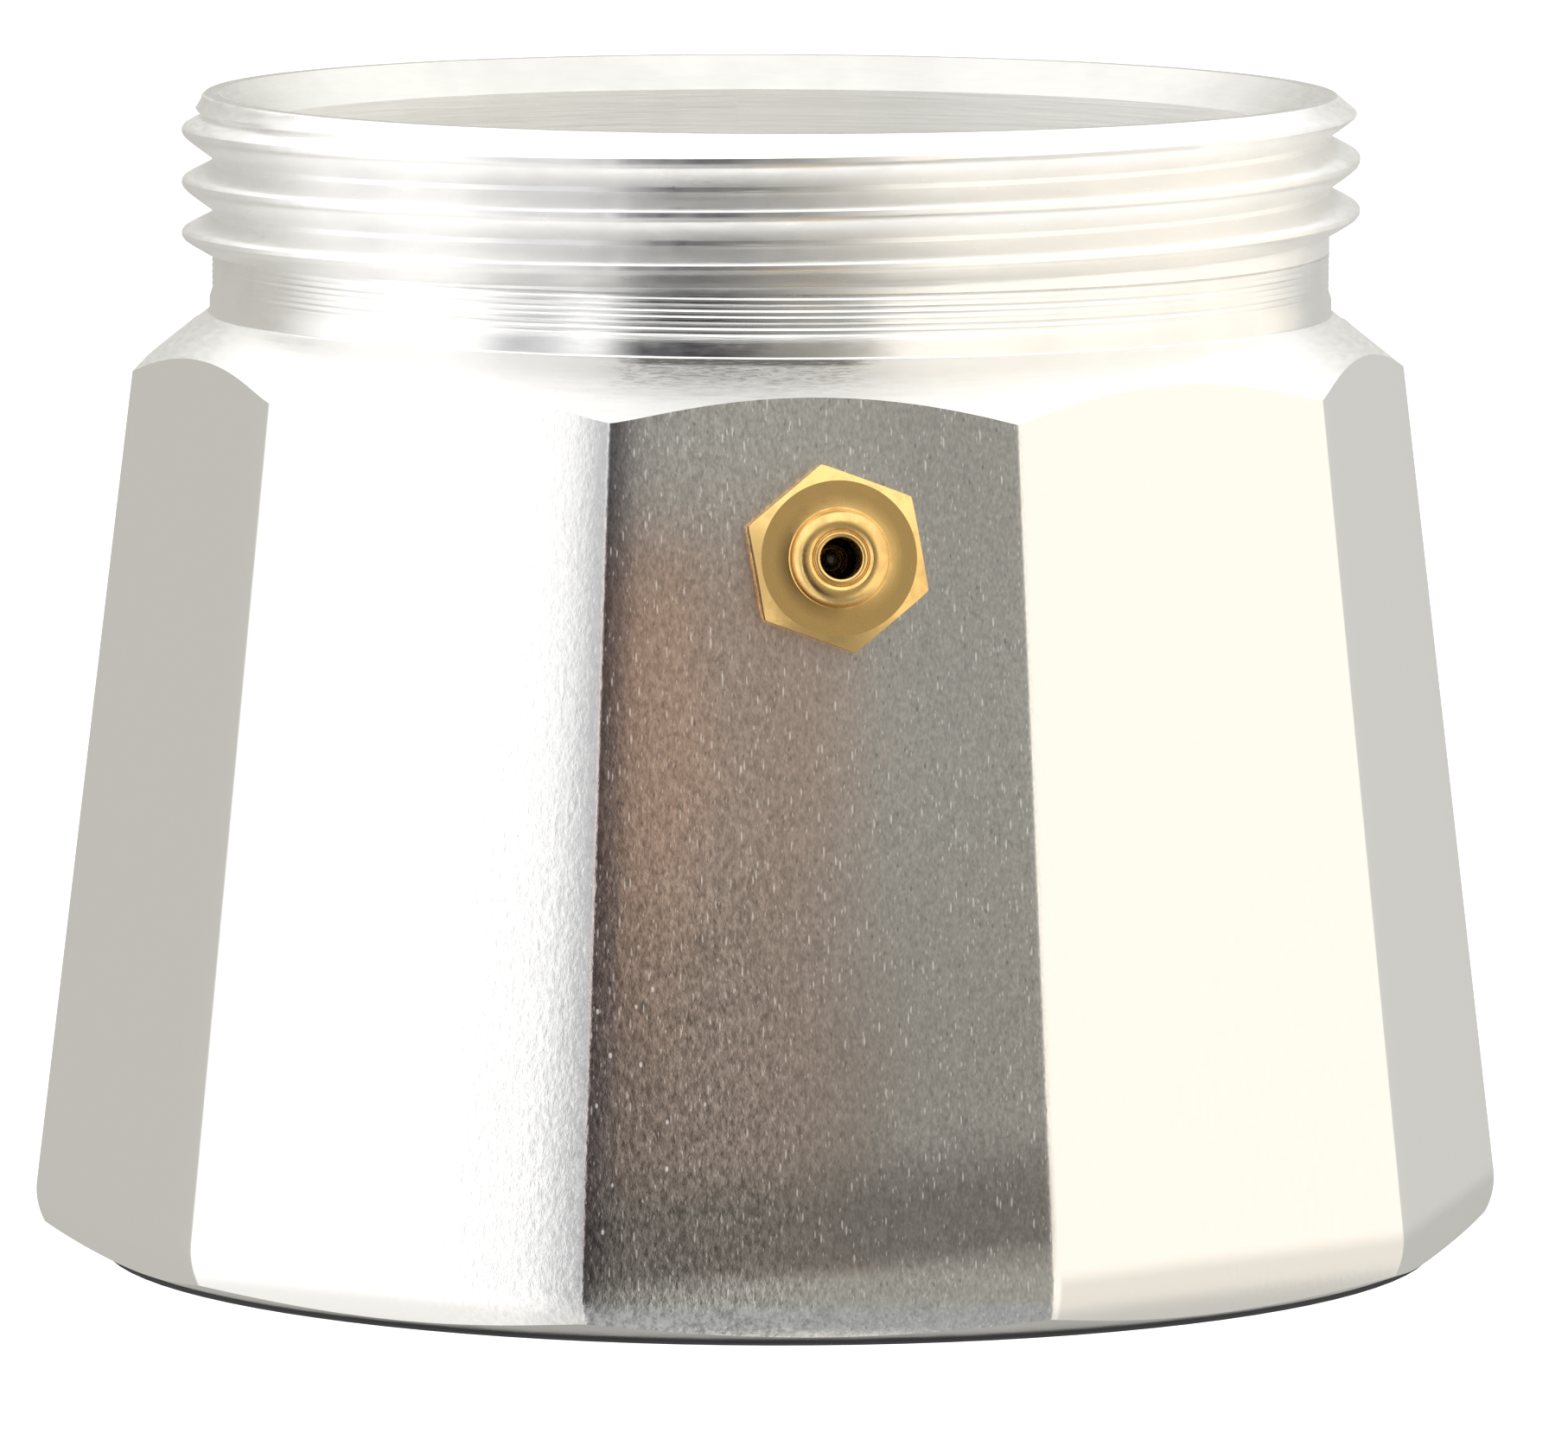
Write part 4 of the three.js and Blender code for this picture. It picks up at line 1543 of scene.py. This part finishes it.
@dataclass
class Studio:
    """Plain pale floor, soft light all round and the camera."""

    focal_length: float = 334.35
    sensor_width: float = 36.0
    nearest: float = 50.0
    distance: float = 835.2
    azimuth: float = -4.046
    elevation: float = 6.503
    roll: float = 0.166
    aim_right: float = 0.842
    aim_height: float = 30.46
    floor_radius: float = 3000.0
    shadow_radius: float = 38.2
    floor_start: float = -28.0
    floor_full: float = -50.0
    strength: float = 1.3
    ceiling_start: float = 15.0
    ceiling_full: float = 36.0
    ceiling: Colour = (1.1, 1.1, 1.08)

    def camera(self) -> bpy.types.Object:
        """A long lens a little above the rim's height, aimed at the boiler's middle.

        Returns:
            The camera.
        """
        az, el = np.radians(self.azimuth), np.radians(self.elevation)
        back = np.array([np.sin(az) * np.cos(el), -np.cos(az) * np.cos(el), np.sin(el)])
        right = np.array([np.cos(az), np.sin(az), 0.0])
        up = np.cross(back, right)
        aim = right * self.aim_right + np.array([0.0, 0.0, self.aim_height])
        data = bpy.data.cameras.new("studio_camera")
        data.sensor_width = self.sensor_width
        data.sensor_fit = "HORIZONTAL"
        data.lens = self.focal_length
        data.clip_start = self.nearest * MM
        made = bpy.data.objects.new("studio_camera", data)
        turn = Matrix([right, up, back]).transposed().to_4x4()
        rolled = turn @ Matrix.Rotation(np.radians(self.roll), 4, "Z")
        made.matrix_world = Matrix.Translation(Vector((aim + back * self.distance) * MM)) @ rolled
        bpy.context.scene.collection.objects.link(made)
        bpy.context.scene.camera = made
        return made

    def disc(
        self, name: str, radius: float, height: float, material: bpy.types.Material
    ) -> bpy.types.Object:
        """A flat round piece of the set, facing up.

        Each point is a share of the radius out from the middle, at the angle of its column.

        Args:
            name: its name.
            radius: its radius.
            height: its height over the pot's foot plane.
            material: its material.

        Returns:
            The disc.
        """
        angle = np.linspace(0.0, 2 * np.pi, 97)
        rings = np.tile(np.linspace(0.0, radius, 6), (97, 1))
        points = revolve(angle, rings, np.full_like(rings, height), upright())
        made = grid_object(name, points, [material])
        return made

    @staticmethod
    def matt(name: str, base: float, glow: Colour, strength: float) -> bpy.types.Material:
        """A matt grey material that glows.

        Args:
            name: its name.
            base: its grey.
            glow: the colour of its glow.
            strength: the strength of its glow.

        Returns:
            The material.
        """
        return Shader(name).finish(
            Base_Color=rgb(base, base, base),
            Roughness=1.0,
            Specular_IOR_Level=0.0,
            Emission_Color=rgb(*glow),
            Emission_Strength=strength,
        )

    def floor(self) -> None:
        """A plain white floor that stays out of the metal, which reflects the light round the set
        instead, and the dark patch right under the pot."""
        white = self.matt("white_floor", 0.02, (1.0, 1.0, 1.0), self.strength)
        self.disc("studio_floor", self.floor_radius, -0.03, white).visible_glossy = False
        dark = self.matt("contact_shadow", 0.03, (0.05, 0.05, 0.052), 1.0)
        self.disc("contact_shadow", self.shadow_radius, -0.01, dark)

    def world(self) -> None:
        """Light from all round, set by the angle round the pot, with a bright ceiling and light
        thrown up by the floor."""
        world = bpy.data.worlds.new("studio_light")
        bpy.context.scene.world = world
        world.use_nodes = True
        tree = NodeTree(world.node_tree)
        direction = tree.new("TexCoord", {}).outputs["Generated"]
        share = tree.line(tree.angle_of(direction), 1 / (2 * np.pi), 0.5)
        around = self.ramp(tree, share, self.surroundings())
        below = self.ramp(tree, share, self.thrown_up())
        z = tree.split(direction)[2]
        rise = tree.between(z, self.level(self.ceiling_start), self.level(self.ceiling_full))
        fall = tree.between(z, self.level(self.floor_start), self.level(self.floor_full))
        colour = tree.mix(fall, tree.mix(rise, around, rgb(*self.ceiling)), below)
        light = tree.new("Background", {"Color": colour, "Strength": self.strength})
        tree.new("OutputWorld", {"Surface": light.outputs[0]})

    @staticmethod
    def level(degrees: float) -> float:
        """The height of a direction of length one at that many degrees above the horizon."""
        return float(np.sin(np.radians(degrees)))

    @staticmethod
    def thrown_up() -> list[tuple[float, Colour]]:
        """The colour of the light from the floor at each angle, as in surroundings.

        Returns:
            Degrees and colours.
        """
        return [
            (-180, (0.43, 0.42, 0.39)),
            (-150, (0.50, 0.49, 0.46)),
            (-128, (0.80, 0.79, 0.76)),
            (-60, (0.80, 0.79, 0.77)),
            (-30, (0.32, 0.325, 0.325)),
            (35, (0.32, 0.325, 0.325)),
            (60, (0.64, 0.62, 0.58)),
            (128, (0.64, 0.62, 0.58)),
            (150, (0.50, 0.50, 0.49)),
            (180, (0.43, 0.42, 0.39)),
        ]

    @staticmethod
    def surroundings() -> list[tuple[float, Colour]]:
        """The light's colour at each angle round the boiler, in degrees from -Y towards +X.

        Returns:
            Degrees and colours.
        """
        return [
            (-180, (0.43, 0.42, 0.39)),
            (-125, (0.455, 0.445, 0.415)),
            (-104, (0.98, 0.98, 0.97)),
            (-66, (1.08, 1.08, 1.07)),
            (-60, (0.50, 0.50, 0.52)),
            (-49, (0.45, 0.45, 0.47)),
            (-45, (0.98, 0.98, 0.98)),
            (-38, (0.85, 0.85, 0.85)),
            (-33, (0.05, 0.05, 0.055)),
            (-14, (0.03, 0.027, 0.035)),
            (-4, (0.19, 0.175, 0.16)),
            (3, (0.285, 0.275, 0.245)),
            (12, (0.31, 0.30, 0.262)),
            (16, (0.38, 0.38, 0.36)),
            (20, (0.93, 0.88, 0.79)),
            (118, (0.93, 0.875, 0.785)),
            (138, (0.52, 0.52, 0.50)),
            (180, (0.45, 0.44, 0.41)),
        ]

    @staticmethod
    def ramp(tree: NodeTree, share: Value, stops: Sequence[tuple[float, Colour]]) -> Socket:
        """A colour ramp over the full circle.

        Args:
            tree: the world's tree.
            share: the place on the circle, from 0 at -180 degrees to 1 at 180.
            stops: degrees and colours, in rising order.

        Returns:
            The ramp's colour.
        """
        node = tree.new("ValToRGB", {0: share})
        elements = node.color_ramp.elements
        node.color_ramp.interpolation = "LINEAR"
        for number, (degrees, colour) in enumerate(stops):
            place = degrees / 360 + 0.5
            stop = elements[number] if number < 2 else elements.new(place)
            stop.position = place
            stop.color = rgb(*colour)
        return node.outputs["Color"]

    def build(self) -> None:
        """Sets up the studio and a plain view transform."""
        self.camera()
        self.floor()
        self.world()
        bpy.context.scene.view_settings.view_transform = "Standard"


# ------------------------------------------------------------------ assembly


def main() -> None:
    """Builds the studio, the boiler and the valve, and reports each piece."""
    logging.basicConfig(level=logging.INFO, format="%(name)s: %(message)s")
    Studio().build()
    valve = SafetyValve()
    pieces = [Boiler().build(valve.hole_cutter()), *valve.build()]
    for piece in pieces:
        piece.data.calc_loop_triangles()
        log.info("%s: %d triangles", piece.name, len(piece.data.loop_triangles))


if __name__ == "__main__":
    main()
